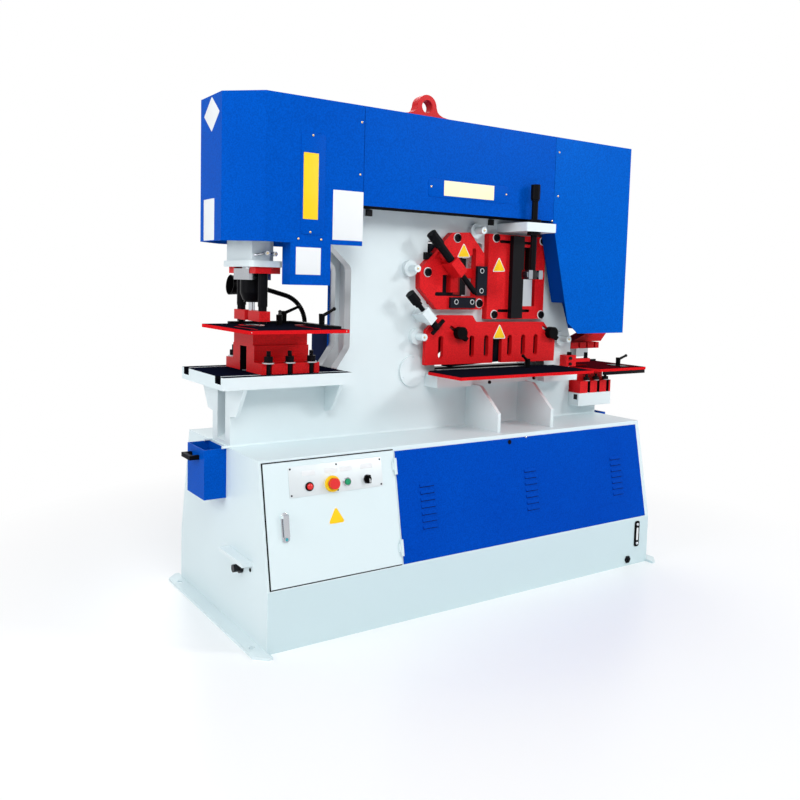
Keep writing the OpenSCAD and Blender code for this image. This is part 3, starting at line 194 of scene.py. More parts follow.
def ring(outer: float, inner: float, height: float, place: Triple,
         direction: Triple = FRONT, sides: int = 40) -> Shell:
    """Flat ring: a closed section with a broken outer edge, swept round the axis.

    Args:
        outer: outer radius.
        inner: radius of the hole.
        height: thickness along the axis.
        place: centre of the ring's foot.
        direction: way that the thickness rises.
        sides: points round the ring.

    Returns:
        The closed shell, a square-sectioned torus.
    """
    edge = min(0.8, height / 3)
    section = [(outer, 0.0), (outer, height - edge), (outer - edge, height), (inner, height), (inner, 0.0)]
    points = swept(section, place, direction, sides)
    return Shell(points.reshape(-1, 3), ring_faces(len(section), sides, wrap=True))


def knurled(radius: float, height: float, place: Triple) -> Shell:
    """Upright gripped drum whose radius has thirty small waves round it."""
    profile = [(radius * 0.9, 0.0), (radius, height * 0.12), (radius, height * 0.88), (radius * 0.88, height)]
    return stack(swept(profile, place, UP, sides=120, lobes=30, depth=0.08))


def arc(centre: Pair, radius: float, start: float, end: float, count: int) -> np.ndarray:
    """Points of an arc, centre + radius (cos a, sin a), with the angles in degrees."""
    a = np.radians(np.linspace(start, end, count))
    return np.stack([centre[0] + radius * np.cos(a), centre[1] + radius * np.sin(a)], axis=1)


def soft_rectangle(width: float, height: float, radius: float, count: int = 6) -> Outline:
    """Rectangle about the origin whose corners are quarter circles.

    Args:
        width: its whole width.
        height: its whole height.
        radius: radius of its corners.
        count: points on each corner.

    Returns:
        The outline, anticlockwise.
    """
    x, y = width / 2 - radius, height / 2 - radius
    corners = [((x, y), 0), ((-x, y), 90), ((-x, -y), 180), ((x, -y), 270)]
    return np.vstack([arc(c, radius, a, a + 90, count) for c, a in corners])


def rounded_outline(corners: list, radius: float, count: int = 5) -> Outline:
    """Outline with every corner replaced by an arc tangent to both of its sides.

    Args:
        corners: the sharp corners, anticlockwise.
        radius: radius of the arcs.
        count: points on each arc.

    Returns:
        The outline as an array of points.
    """
    pts = np.asarray(corners, float)
    out = []
    for q, p, s in zip(pts, np.roll(pts, 1, axis=0), np.roll(pts, -1, axis=0)):
        u, w = unit(p - q), unit(s - q)
        half = math.acos(float(np.clip(u @ w, -1, 1))) / 2
        centre = q + unit(u + w) * radius / math.sin(half)
        a, b = q + u * radius / math.tan(half) - centre, q + w * radius / math.tan(half) - centre
        a0 = math.degrees(math.atan2(a[1], a[0]))
        turn = (math.degrees(math.atan2(b[1], b[0])) - a0 + 540) % 360 - 180
        out.append(arc(tuple(centre), radius, a0, a0 + turn, count))
    return np.vstack(out)


def inset(outline: Outline, amount: float) -> Outline:
    """Moves each point inwards by amount / cos(half the turn) along the mean of its sides' normals.

    Args:
        outline: anticlockwise outline.
        amount: how far its sides move in.

    Returns:
        The smaller outline, with as many points.
    """
    before = outline - np.roll(outline, 1, axis=0)
    after = np.roll(outline, -1, axis=0) - outline
    n0 = unit(np.stack([-before[:, 1], before[:, 0]], axis=1))
    n1 = unit(np.stack([-after[:, 1], after[:, 0]], axis=1))
    mid = unit(n0 + n1)
    stretch = 1.0 / np.maximum((mid * n0).sum(axis=1, keepdims=True), 0.3)
    return outline + mid * amount * stretch


def raised_plate(outline: Outline, thick: float, edge: float, steps: int = 3) -> Shell:
    """Plate whose front rim is a quarter round: rings step in by e(1-cos t), up by e sin t.

    Args:
        outline: anticlockwise outline in the plate's own plane.
        thick: thickness along the third axis.
        edge: radius of the front rim.
        steps: rings on the rim.

    Returns:
        The closed shell, back at height zero.
    """
    t = np.radians(np.linspace(0, 90, steps + 1))
    rings = [np.column_stack([outline, np.zeros(len(outline))])]
    for a in t:
        flat = inset(outline, edge * (1 - math.cos(a)))
        rings.append(np.column_stack([flat, np.full(len(flat), thick - edge + edge * math.sin(a))]))
    return stack(np.asarray(rings))


def tube(path: list | Grid, radius: float | Grid, sides: int = 16) -> Shell:
    """Tube: rings c(t) + r(t)(cos a u(t) + sin a v(t)) along a path, ends closed.

    Args:
        path: points of the centre line.
        radius: radius of the tube, or one for each point.
        sides: points round the tube.

    Returns:
        The closed shell. The frames (u, v) are carried along without twist.
    """
    path = np.asarray(path, float)
    tangent = unit(np.gradient(path, axis=0))
    frames = [basis(tuple(tangent[0]))[:, 0]]
    for t in tangent[1:]:
        frames.append(unit(frames[-1] - (frames[-1] @ t) * t))
    u = np.asarray(frames)
    v = np.cross(tangent, u)
    a = np.linspace(0, 2 * np.pi, sides, endpoint=False)
    r = np.broadcast_to(np.asarray(radius, float), (len(path),))[:, None, None]
    ring = np.cos(a)[None, :, None] * u[:, None, :] + np.sin(a)[None, :, None] * v[:, None, :]
    return stack(path[:, None, :] + r * ring)


def hexagon(across: float, height: float, place: Triple, direction: Triple = FRONT) -> Shell:
    """Hexagon nut or head with chamfered corners: four rings of six points."""
    r = across / 2 / math.cos(math.pi / 6)
    return turned([(r * 0.93, 0.0), (r, height * 0.08), (r, height * 0.88), (r * 0.9, height)],
                  place, direction, sides=6)


def socket_screw(head: float, height: float, place: Triple, direction: Triple = FRONT) -> Shell:
    """Cap screw head: a drum with a round hollow in its face, turned from one closed profile.

    Args:
        head: its diameter.
        height: its height.
        place: centre of its foot.
        direction: way that it stands.

    Returns:
        The closed shell.
    """
    r, s = head / 2, head / 4
    profile = [
        (r, 0.0), (r, height * 0.85), (r * 0.94, height), (s * 1.1, height),
        (s, height * 0.92), (s, height * 0.35), (0.05, height * 0.3),
    ]
    return turned(profile, place, direction, sides=24)


def dome_screw(head: float, height: float, place: Triple, direction: Triple = FRONT) -> Shell:
    """Screw with a domed head: r = R cos t, h = H sin t."""
    profile = [(head / 2, 0.0), *(arc((0.0, 0.0), 1.0, 0, 84, 6) * (head / 2, height))]
    return turned(profile, place, direction, sides=24)


def bar(x: Pair, y: Pair, z: Pair, edge: float = 0.8) -> Shell:
    """Bar with broken edges: rings that are soft rectangles in X-Y, the first and last drawn in.

    Args:
        x: its limits along X.
        y: its limits along Y.
        z: its limits along Z.
        edge: how much of its edges is broken.

    Returns:
        The closed shell.
    """
    w, d = x[1] - x[0], y[1] - y[0]
    cx, cy = (x[0] + x[1]) / 2, (y[0] + y[1]) / 2
    full = soft_rectangle(w, d, edge, 3) + [cx, cy]
    small = inset(full, edge * 0.7)
    rings = [(small, z[0]), (full, z[0] + edge), (full, z[1] - edge), (small, z[1])]
    return stack(np.asarray([np.column_stack([o, np.full(len(o), h)]) for o, h in rings]))


def facing(shell: Shell, place: Triple, direction: Axis = Axis.FRONT) -> Shell:
    """Lays a shell made in its own plane on a wall that faces the given way.

    Args:
        shell: shell with its outline in X-Y and its thickness along Z.
        place: the wall point that the shell's origin goes to.
        direction: way that the shell's thickness rises.

    Returns:
        The shell in place, with its own Y pointing up on an upright wall.
    """
    w = np.asarray(direction.value, float)
    up = np.array([0.0, 0.0, 1.0]) if abs(w[2]) < 0.5 else np.array([0.0, 1.0, 0.0])
    u = np.cross(up, w)
    return shell.placed(np.stack([u, up, w], axis=1), place)


def put(name: str, shells: Shell | list, finish: "Finish", body: str = "machine",
        sharp: float = 35.0) -> None:
    """Makes one object of a shell or of several, dresses it and lets it ride on a body.

    Args:
        name: name of the piece.
        shells: its shape in millimetres, one shell or a list of them.
        finish: what it is made of.
        body: name of the CAD body that carries it.
        sharp: edges that turn by more than this many degrees stay sharp.
    """
    shell = join(shells) if isinstance(shells, list) else shells
    mesh = bpy.data.meshes.new(name)
    mesh.from_pydata((shell.points * MM).tolist(), [], shell.faces)
    mesh.validate()
    mesh.polygons.foreach_set("use_smooth", np.ones(len(mesh.polygons), bool))
    mesh.set_sharp_from_angle(angle=math.radians(sharp))
    mesh.materials.append(finish.material())
    obj = bpy.data.objects.new(name, mesh)
    bpy.context.scene.collection.objects.link(obj)
    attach(obj, body)
    LOG.info("piece %s on %s: %d faces", name, body, len(mesh.polygons))


def wall_plate(across: Pair, z: Pair, wall: float, thick: float, corner: float,
               edge: float = 0.4, direction: Axis = Axis.FRONT) -> Shell:
    """Thin plate on a wall that faces the operator or the left end of the machine.

    Args:
        across: its two sides, along X on the front and along Y on the end.
        z: its lower and upper side.
        wall: the wall's place along the direction's own axis.
        thick: how far the plate stands off the wall.
        corner: radius of its corners.
        edge: radius of its front rim.
        direction: way that the wall faces.

    Returns:
        The closed shell.
    """
    outline = soft_rectangle(across[1] - across[0], z[1] - z[0], corner)
    mid, height = sum(across) / 2, sum(z) / 2
    centre = (mid, wall, height) if direction is Axis.FRONT else (wall, mid, height)
    return facing(raised_plate(outline, thick, edge), centre, direction)


def triangle(corners: list, wall: float, thick: float, radius: float) -> Shell:
    """Rounded triangle on a wall that faces the operator, its corners given as (x, z)."""
    return facing(raised_plate(rounded_outline(corners, radius), thick, 0.3), (0.0, wall, 0.0))


def shrunk(corners: list, share: float) -> list:
    """Corners drawn in towards their mean: p' = m + (p - m) share."""
    mean = np.mean(corners, axis=0)
    return (mean + (np.asarray(corners, float) - mean) * share).tolist()


def on_slope(shell: Shell) -> Shell:
    """Turns a shell made for an upright wall into the plane of the cabinet's sloping front."""
    return shell.placed(LEAN, SLOPE_TOP)


# ------------------------------------------------------------------ finishes
# Least upward part of the normal on a face that takes a finish's top colour.
FLAT_TOP = 0.9
# Grain heights between which speckle sets in, and its share of the second colour.
HOLLOWS = (0.62, 0.36)
HOLLOW_SHARE = 0.6


@dataclass(frozen=True)
class Patch:
    """Box in millimetres inside which a surface takes another colour and gloss.

    Attributes:
        low: the box's lowest corner.
        high: the box's highest corner.
        colour: colour inside.
        rough: roughness inside.
        metallic: how metallic it is inside.
        edges_only: leaves out faces that look along Y, so that only a plate's edge changes.
    """

    low: Triple
    high: Triple
    colour: Triple
    rough: float = 0.4
    metallic: float = 0.0
    edges_only: bool = False


@dataclass(frozen=True)
class Finish:
    """A finish: one principled shader with noise in its colour, gloss and relief.

    Fields give the plain colour, how rough and metallic it is, its clear coat, and the
    size and strength of its grain. The second colour is mixed in by a broad soft noise.
    """

    name: str
    slot: str
    colour: Triple
    second: Triple
    rough: float = 0.45
    rough_spread: float = 0.06
    metallic: float = 0.0
    coat: float = 0.0
    coat_rough: float = 0.1
    specular: float = 0.3
    grain: float = 400.0
    relief: float = 0.0
    relief_depth: float = 0.0004
    cloud: float = 2.5
    top: Triple | None = None
    top_rough: float = 0.55
    patches: tuple[Patch, ...] = ()
    speckle: float = 0.0

    def material(self) -> bpy.types.Material:
        """The Blender material of this finish, made once."""
        found = bpy.data.materials.get(self.name + "_finish")
        return found if found is not None else self.build()

    def build(self) -> bpy.types.Material:
        """Makes the node tree.

        Returns:
            The new material: cloud noise mixes the two colours, fine noise moves the
            roughness and, where there is relief, drives a bump.
        """
        mat = bpy.data.materials.new(self.name + "_finish")
        mat.use_nodes = True
        tree = mat.node_tree
        shader = tree.nodes["Principled BSDF"]
        where = add_node(tree, "TexCoord").outputs["Object"]
        cloud = add_node(tree, "TexNoise", {"Scale": self.cloud, "Detail": 3.0, "Vector": where})
        fine = add_node(tree, "TexNoise", {"Scale": self.grain, "Detail": 2.0, "Vector": where})
        grain = fine.outputs["Fac"]
        low, high = self.rough - self.rough_spread, self.rough + self.rough_spread
        gloss = add_node(tree, "MapRange", {"To Min": low, "To Max": high, "Value": grain})
        look = {
            "Base Color": mix_colour(tree, cloud.outputs["Fac"], self.colour, self.second),
            "Roughness": gloss.outputs["Result"], "Metallic": self.metallic,
            "Specular IOR Level": self.specular, "Coat Weight": self.coat, "Coat Roughness": self.coat_rough,
        }
        if self.speckle > 0:
            look["Base Color"] = self.speckled(tree, look["Base Color"], grain)
        covers = []
        if self.top is not None:
            upward = math_node(tree, "GREATER_THAN", normal_part(tree, "Z"), FLAT_TOP)
            covers.append((upward, self.top, self.top_rough, self.metallic))
        covers += [(box_mask(tree, where, p), p.colour, p.rough, p.metallic) for p in self.patches]
        for mask, colour, rough, metallic in covers:
            look["Base Color"] = mix_colour(tree, mask, look["Base Color"], colour)
            look["Roughness"] = mix_value(tree, mask, look["Roughness"], rough)
            if metallic != look["Metallic"]:
                look["Metallic"] = mix_value(tree, mask, look["Metallic"], metallic)
        if self.relief > 0:
            bump = {"Strength": self.relief, "Distance": self.relief_depth, "Height": grain}
            look["Normal"] = add_node(tree, "Bump", bump).outputs["Normal"]
        for name, value in look.items():
            fill(tree, shader.inputs[name], value)
        return mat

    def speckled(self, tree: Tree, base: Socket, grain: Socket) -> Socket:
        """Darkens the paint in the hollows of its grain.

        Args:
            tree: the material's nodes.
            base: the paint's colour.
            grain: the fine noise.

        Returns:
            The colour with its speckle.
        """
        ends = {"From Min": HOLLOWS[0], "From Max": HOLLOWS[1], "To Max": self.speckle, "Value": grain}
        depth = add_node(tree, "MapRange", ends).outputs["Result"]
        return mix_colour(tree, depth, base, tuple(c * HOLLOW_SHARE for c in self.second))


def fill(tree: Tree, socket: Socket, value: object) -> None:
    """Links a socket to another one, or sets it to a constant.

    Args:
        tree: the tree that holds the socket.
        socket: the input.
        value: a socket, a number, a vector or a colour of three parts.
    """
    if isinstance(value, bpy.types.NodeSocket):
        tree.links.new(value, socket)
    else:
        socket.default_value = (*value, 1.0) if socket.type == "RGBA" else value


def add_node(tree: Tree, kind: str, inputs: dict | None = None, operation: str = "") -> bpy.types.Node:
    """Adds a shader node and fills its inputs.

    Args:
        tree: the tree that takes it.
        kind: its type, without the leading word.
        inputs: values or sockets by the name or number of the input.
        operation: what a Math or Vector Math node does.

    Returns:
        The node.
    """
    node = tree.nodes.new("ShaderNode" + kind)
    if operation:
        node.operation = operation
    for key, value in (inputs or {}).items():
        fill(tree, node.inputs[key], value)
    return node


def mix_colour(tree: Tree, mask: Socket, low: object, high: object) -> Socket:
    """Colour that goes from low to high as the mask goes from zero to one.

    Args:
        tree: the tree that takes the node.
        mask: how much of the high colour shows.
        low: colour or socket at zero.
        high: colour or socket at one.

    Returns:
        The socket of the mixed colour.
    """
    mix = add_node(tree, "Mix")
    mix.data_type = "RGBA"
    for key, value in (("Factor", mask), (6, low), (7, high)):
        fill(tree, mix.inputs[key], value)
    return mix.outputs[2]


def mix_value(tree: Tree, mask: Socket, low: object, high: object) -> Socket:
    """Number that goes from low to high as the mask goes from zero to one."""
    return add_node(tree, "Mix", {"Factor": mask, 2: low, 3: high}).outputs[0]


def math_node(tree: Tree, operation: str, first: object, second: object) -> Socket:
    """Result of one Math node."""
    return add_node(tree, "Math", {0: first, 1: second}, operation).outputs[0]


def normal_part(tree: Tree, axis: str) -> Socket:
    """Part of the face's true normal along an axis."""
    normal = add_node(tree, "NewGeometry").outputs["True Normal"]
    return add_node(tree, "SeparateXYZ", {"Vector": normal}).outputs[axis]


def box_mask(tree: Tree, where: Socket, patch: Patch) -> Socket:
    """One inside the patch's box: the largest part of |p - centre| - half is below zero.

    Args:
        tree: the material's nodes.
        where: the surface point in object coordinates.
        patch: the box.

    Returns:
        The socket of the mask.
    """
    low, high = np.asarray(patch.low) * MM, np.asarray(patch.high) * MM
    half = (high - low) / 2
    value = where
    for operation, vector in (("SUBTRACT", low + half), ("ABSOLUTE", half), ("SUBTRACT", half)):
        value = add_node(tree, "VectorMath", {0: value, 1: tuple(vector)}, operation).outputs["Vector"]
    split = add_node(tree, "SeparateXYZ", {"Vector": value})
    most = math_node(tree, "MAXIMUM", split.outputs["X"], split.outputs["Y"])
    most = math_node(tree, "MAXIMUM", most, split.outputs["Z"])
    mask = math_node(tree, "LESS_THAN", most, 0.0)
    if patch.edges_only:
        across = math_node(tree, "ABSOLUTE", normal_part(tree, "Y"), 0.0)
        mask = math_node(tree, "MULTIPLY", mask, math_node(tree, "LESS_THAN", across, 0.5))
    return mask


def patched(base: Finish, name: str, *patches: tuple, **changes: object) -> Finish:
    """Copy of a finish under another name, with patches given as their fields, and with other changes."""
    return replace(base, name=name, patches=tuple(Patch(*fields) for fields in patches), **changes)


INK = (0.004, 0.004, 0.006)
BARE = (0.46, 0.49, 0.52)
# Dark blue used only as painted shade inside and behind the blue covers.
SHADE_NAVY = (0.002, 0.012, 0.07)
TOP_BLACK = (0.006, 0.007, 0.014)

WHITE = Finish("white_enamel", "white_paint", (0.72, 0.80, 0.82), (0.67, 0.76, 0.785), rough=0.38,
    specular=0.25, coat=0.1, cloud=1.5, grain=900.0, relief=0.04)
BLUE = Finish("blue_enamel", "blue_paint", (0.0, 0.096, 0.535), (0.0, 0.070, 0.455), rough=0.38,
    rough_spread=0.08, specular=0.015, cloud=2.2, grain=190.0, relief=0.32, relief_depth=0.0007, speckle=0.45)
RED = Finish("red_hammered", "red_paint", (0.80, 0.014, 0.018), (0.62, 0.008, 0.012), rough=0.38,
    rough_spread=0.1, specular=0.10, grain=240.0, relief=0.4, relief_depth=0.0008, cloud=6.0, speckle=0.5)
BLACK = Finish("black_oxide", "black_steel", (0.003, 0.003, 0.004), (0.006, 0.006, 0.008), rough=0.3,
    specular=0.04)
BLADE = Finish("blade_steel", "blade_steel", (0.006, 0.007, 0.012), (0.012, 0.014, 0.022), rough=0.26,
    specular=0.06, cloud=9.0)
STEEL = Finish("ground_steel", "bright_steel", (0.58, 0.60, 0.62), (0.45, 0.47, 0.50), rough=0.28,
    metallic=0.95, cloud=14.0)
CHROME = Finish("hard_chrome", "hard_chrome", (0.58, 0.60, 0.63), (0.48, 0.50, 0.54), rough=0.14,
    rough_spread=0.03, metallic=1.0, cloud=10.0)
PLASTIC = Finish("black_plastic", "black_plastic", (0.0025, 0.0025, 0.003), (0.0045, 0.0045, 0.005),
    rough=0.3, specular=0.03, grain=900.0)
BEHIND_DOOR = (Patch((-1000, -349, 480), (-300, -240, 640), INK, 0.5),)
RED_CAP = Finish("red_button", "red_plastic", (0.72, 0.016, 0.016), (0.62, 0.012, 0.012), rough=0.25,
    coat=0.3, patches=BEHIND_DOOR)
GREEN_CAP = Finish("green_button", "green_plastic", (0.0, 0.30, 0.13), (0.0, 0.24, 0.10), rough=0.25,
    coat=0.3, patches=BEHIND_DOOR)
GREY = Finish("grey_machine_paint", "grey_paint", (0.30, 0.33, 0.37), (0.26, 0.29, 0.33), rough=0.4)
YELLOW = Finish("yellow_field", "white_paint", (0.92, 0.60, 0.01), (0.86, 0.55, 0.01), rough=0.4,
    specular=0.2)
PALE = Finish("pale_field", "white_paint", (0.77, 0.79, 0.80), (0.73, 0.75, 0.765), rough=0.42, specular=0.2)
CREAM = Finish("cream_field", "white_paint", (0.90, 0.84, 0.56), (0.86, 0.80, 0.52), rough=0.42, specular=0.2)
SILVER = Finish("brushed_plate", "bright_steel", (0.70, 0.75, 0.77), (0.62, 0.67, 0.69), rough=0.36,
    metallic=0.45, specular=0.3, cloud=8.0)
BRASS = Finish("brass", "bright_steel", (0.62, 0.50, 0.30), (0.52, 0.42, 0.26), rough=0.26, metallic=0.95)
TEAL = Finish("teal_button", "green_plastic", (0.03, 0.35, 0.42), (0.02, 0.30, 0.37), rough=0.3, coat=0.3)
# Near-black used only for the strips of painted shade under the louvre hoods.
LOUVRE_SHADE = Finish("painted_louvre_shade", "black_steel", (0.004, 0.004, 0.005), (0.007, 0.007, 0.009), rough=0.6,
    specular=0.03)
MARK_RED = replace(RED, name="red_mark", relief=0.1)
BULB = Finish("frosted_bulb", "white_paint", (0.86, 0.86, 0.82), (0.80, 0.80, 0.76), rough=0.3, coat=0.3)
# Painted shade: the base's white is a darker copy of the frame white, and its lower front is darker still.
BASE_WHITE_SHADED = patched(WHITE, "white_base_painted_shade", ((-971, -470, -1), (971, -352, 216), (0.56, 0.69, 0.72), 0.3),
    colour=(0.68, 0.78, 0.80), second=(0.63, 0.74, 0.77), cloud=1.1)
# Painted shade: the door's white is the same darker copy of the frame white as the base.
DOOR_WHITE_SHADED = replace(WHITE, name="white_door_painted_shade", colour=(0.68, 0.78, 0.80), second=(0.65, 0.755, 0.78),
    cloud=1.1)
RED_TABLE = replace(RED, name="red_with_black_top", top=TOP_BLACK, top_rough=0.32, specular=0.0, relief=0.08)
NOTCH_TABLE = replace(RED_TABLE, name="red_notcher_table", top=(0.075, 0.004, 0.008), top_rough=0.32)
# Painted shade: the two INK boxes darken the T-slot mouths at the bed's left end.
WHITE_BED = patched(WHITE, "white_dark_top_slot_shade", ((-1050, -172, 900), (-1030, -118, 930), INK, 0.5),
    ((-1050, 148, 900), (-1030, 202, 930), INK, 0.5), top=(0.004, 0.006, 0.018), top_rough=0.3, specular=0.0,
    coat=0.0)
# Painted shade: the INK boxes darken the gap under the flat shear guard, the insides of the flat-shear and
# angle windows, and the frame front hidden under the covers. The BARE box is the bare steel of the punch
# throat's edges.
FRAME_WHITE_SHADED = patched(WHITE, "white_bare_throat_painted_shade", ((-36, -74, 880), (606, -20, 1000), INK, 0.5),
    ((-36.3, -74, 870), (600.3, 100.7, 899.6), INK, 0.5),
    ((-585, -80, 928), (-452, 110, 1436), BARE, 0.3, 0.85, True),
    ((440, -70.5, 1140), (506.4, 100.6, 1474), INK, 0.5),
    ((-1012, -71.6, 1562), (1000, -70.5, 1906), INK, 0.5))
BRACKETS = patched(WHITE, "white_brackets", ((-402, -86, 1532), (-374, -71.2, 1560), INK),
    ((231, -86, 1532), (259, -71.2, 1560), INK))
INLET = patched(WHITE, "white_inlet", ((-1010, -228, 218), (-960, -180, 266), INK))
BOXES = patched(BLUE, "blue_boxes", ((-1100, -60, 455), (-1058.4, 120, 650), INK),
    ((1058.4, -60, 455), (1100, 120, 650), INK))
# Painted shade: dark blue on the box behind the frame's rear and on the inside of the left cover.
LEFT_BLUE = patched(BLUE, "blue_left_cover_painted_shade", ((-1014, 102, 640), (-318, 240, 1090), SHADE_NAVY),
    ((-890, -194.6, 1409), (-400, 224.6, 1926.6), SHADE_NAVY), ((-1008.6, -78, 1409), (-880, 108, 1926.6), SHADE_NAVY))
# Painted shade: dark blue on the inside of the middle cover.
MIDDLE_BLUE = patched(BLUE, "blue_middle_cover_painted_shade", ((-484, -194.6, 1500), (498, 224.6, 1926.6), SHADE_NAVY))
# Painted light and shade: the right cover's blue is a lighter copy of the blue for the glare on it, and its
# lower-left side is painted darker blue as shade.
RIGHT_BLUE_LIT_SHADED = patched(BLUE, "blue_right_cover_painted_light_and_shade", ((494, -195.5, 1057), (790, -71, 1562), (0.0, 0.045, 0.30)),
    colour=(0.0, 0.120, 0.58), second=(0.0, 0.088, 0.50))
PANEL_BLUE = replace(BLUE, name="blue_panel", colour=(0.0, 0.075, 0.50), second=(0.0, 0.050, 0.42))
ANGLE_RED = patched(RED, "red_angle_plate", ((338.5, -130, 1120), (405.5, -103.2, 1497), INK, 0.3),
    ((278, -102.8, 1451), (470, -86, 1472), INK), ((278, -102.8, 1151), (470, -86, 1168), INK))
MOVING_BLADES = patched(BLADE, "moving_blade_steel", ((98, -73, 1180), (170, -60, 1470), BARE, 0.34, 0.6))
FOOT = patched(CHROME, "foot_chrome", ((340, -262, 1300), (372, -206, 1345), INK), colour=(0.42, 0.44, 0.48),
    second=(0.30, 0.32, 0.36))
RAM = replace(CHROME, name="ram_chrome", colour=(0.46, 0.48, 0.51), second=(0.36, 0.38, 0.41), rough=0.2)
# Painted shade: the INK box darkens the hollow slot through the bolster.
BOLSTER_RED = patched(RED, "red_bolster_slot_shade", ((-877.7, -17, 926.2), (-770, 47, 1026), INK, 0.5))
# Painted shade: the INK box darkens the T-slot hole at the notcher bed's left end.
BED_WHITE = patched(WHITE, "white_notcher_bed_hole_shade", ((774, -128, 735), (790, -104, 760), INK, 0.5))
# The first two boxes darken the clamp slots below the washers: painted shade on the slot walls, over the
# black bolt shanks. The next two are the black bolt heads and the last two the bare washers.
DIE_RED = patched(RED, "red_notcher_die_slot_shade", ((838, -130.6, 764), (998, -102, 821.9), INK),
    ((838, 132, 764), (998, 160.6, 821.9), INK), ((834, -130.6, 825), (1001, -95, 876), INK),
    ((834, 125, 825), (1001, 160.6, 876), INK), ((834, -130.6, 822.1), (1001, -95, 825), BARE, 0.3, 0.9),
    ((834, 125, 822.1), (1001, 160.6, 825), BARE, 0.3, 0.9))
GUIDE_RED = patched(RED, "red_notcher_guide", ((718, -126, 895), (744, -116.1, 948), INK),
    ((838, -116, 931.2), (862, -92, 950), INK))
HOLDER_RED = patched(RED, "red_notcher_holder", ((780, -72, 925), (980, 112, 974.6), BARE, 0.3, 0.9))
FIXED_BLADES = patched(BLADE, "fixed_blade_steel",
    ((426, -100, 1178), (486, -70, 1303), (0.5, 0.53, 0.56), 0.3, 0.9))

NODE_FINISH: dict[str, Finish] = {node: finish for finish, nodes in (
    (BASE_WHITE_SHADED, "base_cabinet"),
    (PANEL_BLUE, "louvre_panel"),
    (BOXES, "scrap_box"),
    (INLET, "power_inlet"),
    (GREY, "power_pack cylinder_barrels"),
    (FRAME_WHITE_SHADED, "frame_front_plate frame_rear_plate frame_webs"),
    (BRACKETS, "frame_brackets"),
    (WHITE, "pivot_pin tie_studs ram_housing"),
    (WHITE_BED, "punch_bed"),
    (BED_WHITE, "notcher_bed"),
    (LEFT_BLUE, "left_cover"),
    (MIDDLE_BLUE, "middle_cover"),
    (RIGHT_BLUE_LIT_SHADED, "right_cover"),
    (RED, "lifting_eye stripper_carrier stripper_bar section_plate shear_beam flat_guard"),
    (BLACK, "stripper_posts clamp_bolts punch_die station_bolts punch_nut section_screw angle_screw "
            "flat_screw table_fence"),
    (BOLSTER_RED, "die_bolster"),
    (RED_TABLE, "punch_table shear_table"),
    (FIXED_BLADES, "fixed_blades"),
    (ANGLE_RED, "angle_plate"),
    (DIE_RED, "notcher_die"),
    (NOTCH_TABLE, "notcher_table"),
    (GUIDE_RED, "notcher_guide"),
    (PLASTIC, "work_lamp selector_knob guard_knob_left guard_knob_right fence_lever_left fence_lever_right "
              "fence_lever_rear shear_lever notch_lever"),
    (DOOR_WHITE_SHADED, "door"),
    (CHROME, "latch_handle punch shear_rod"),
    (RED_CAP, "estop_button"),
    (GREEN_CAP, "start_button"),
    (RAM, "punch_ram"),
    (HOLDER_RED, "notcher_holder"),
    (MOVING_BLADES, "moving_blades"),
    (FOOT, "angle_foot"),
) for node in nodes.split()}


def dress_frame() -> None:
    """Gives each CAD node its finish by putting one material in its slots."""
    for name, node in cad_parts.items():
        finish = NODE_FINISH[name]
        node.data.materials.clear()
        node.data.materials.append(finish.material())
    LOG.info("dressed %d CAD nodes", len(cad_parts))


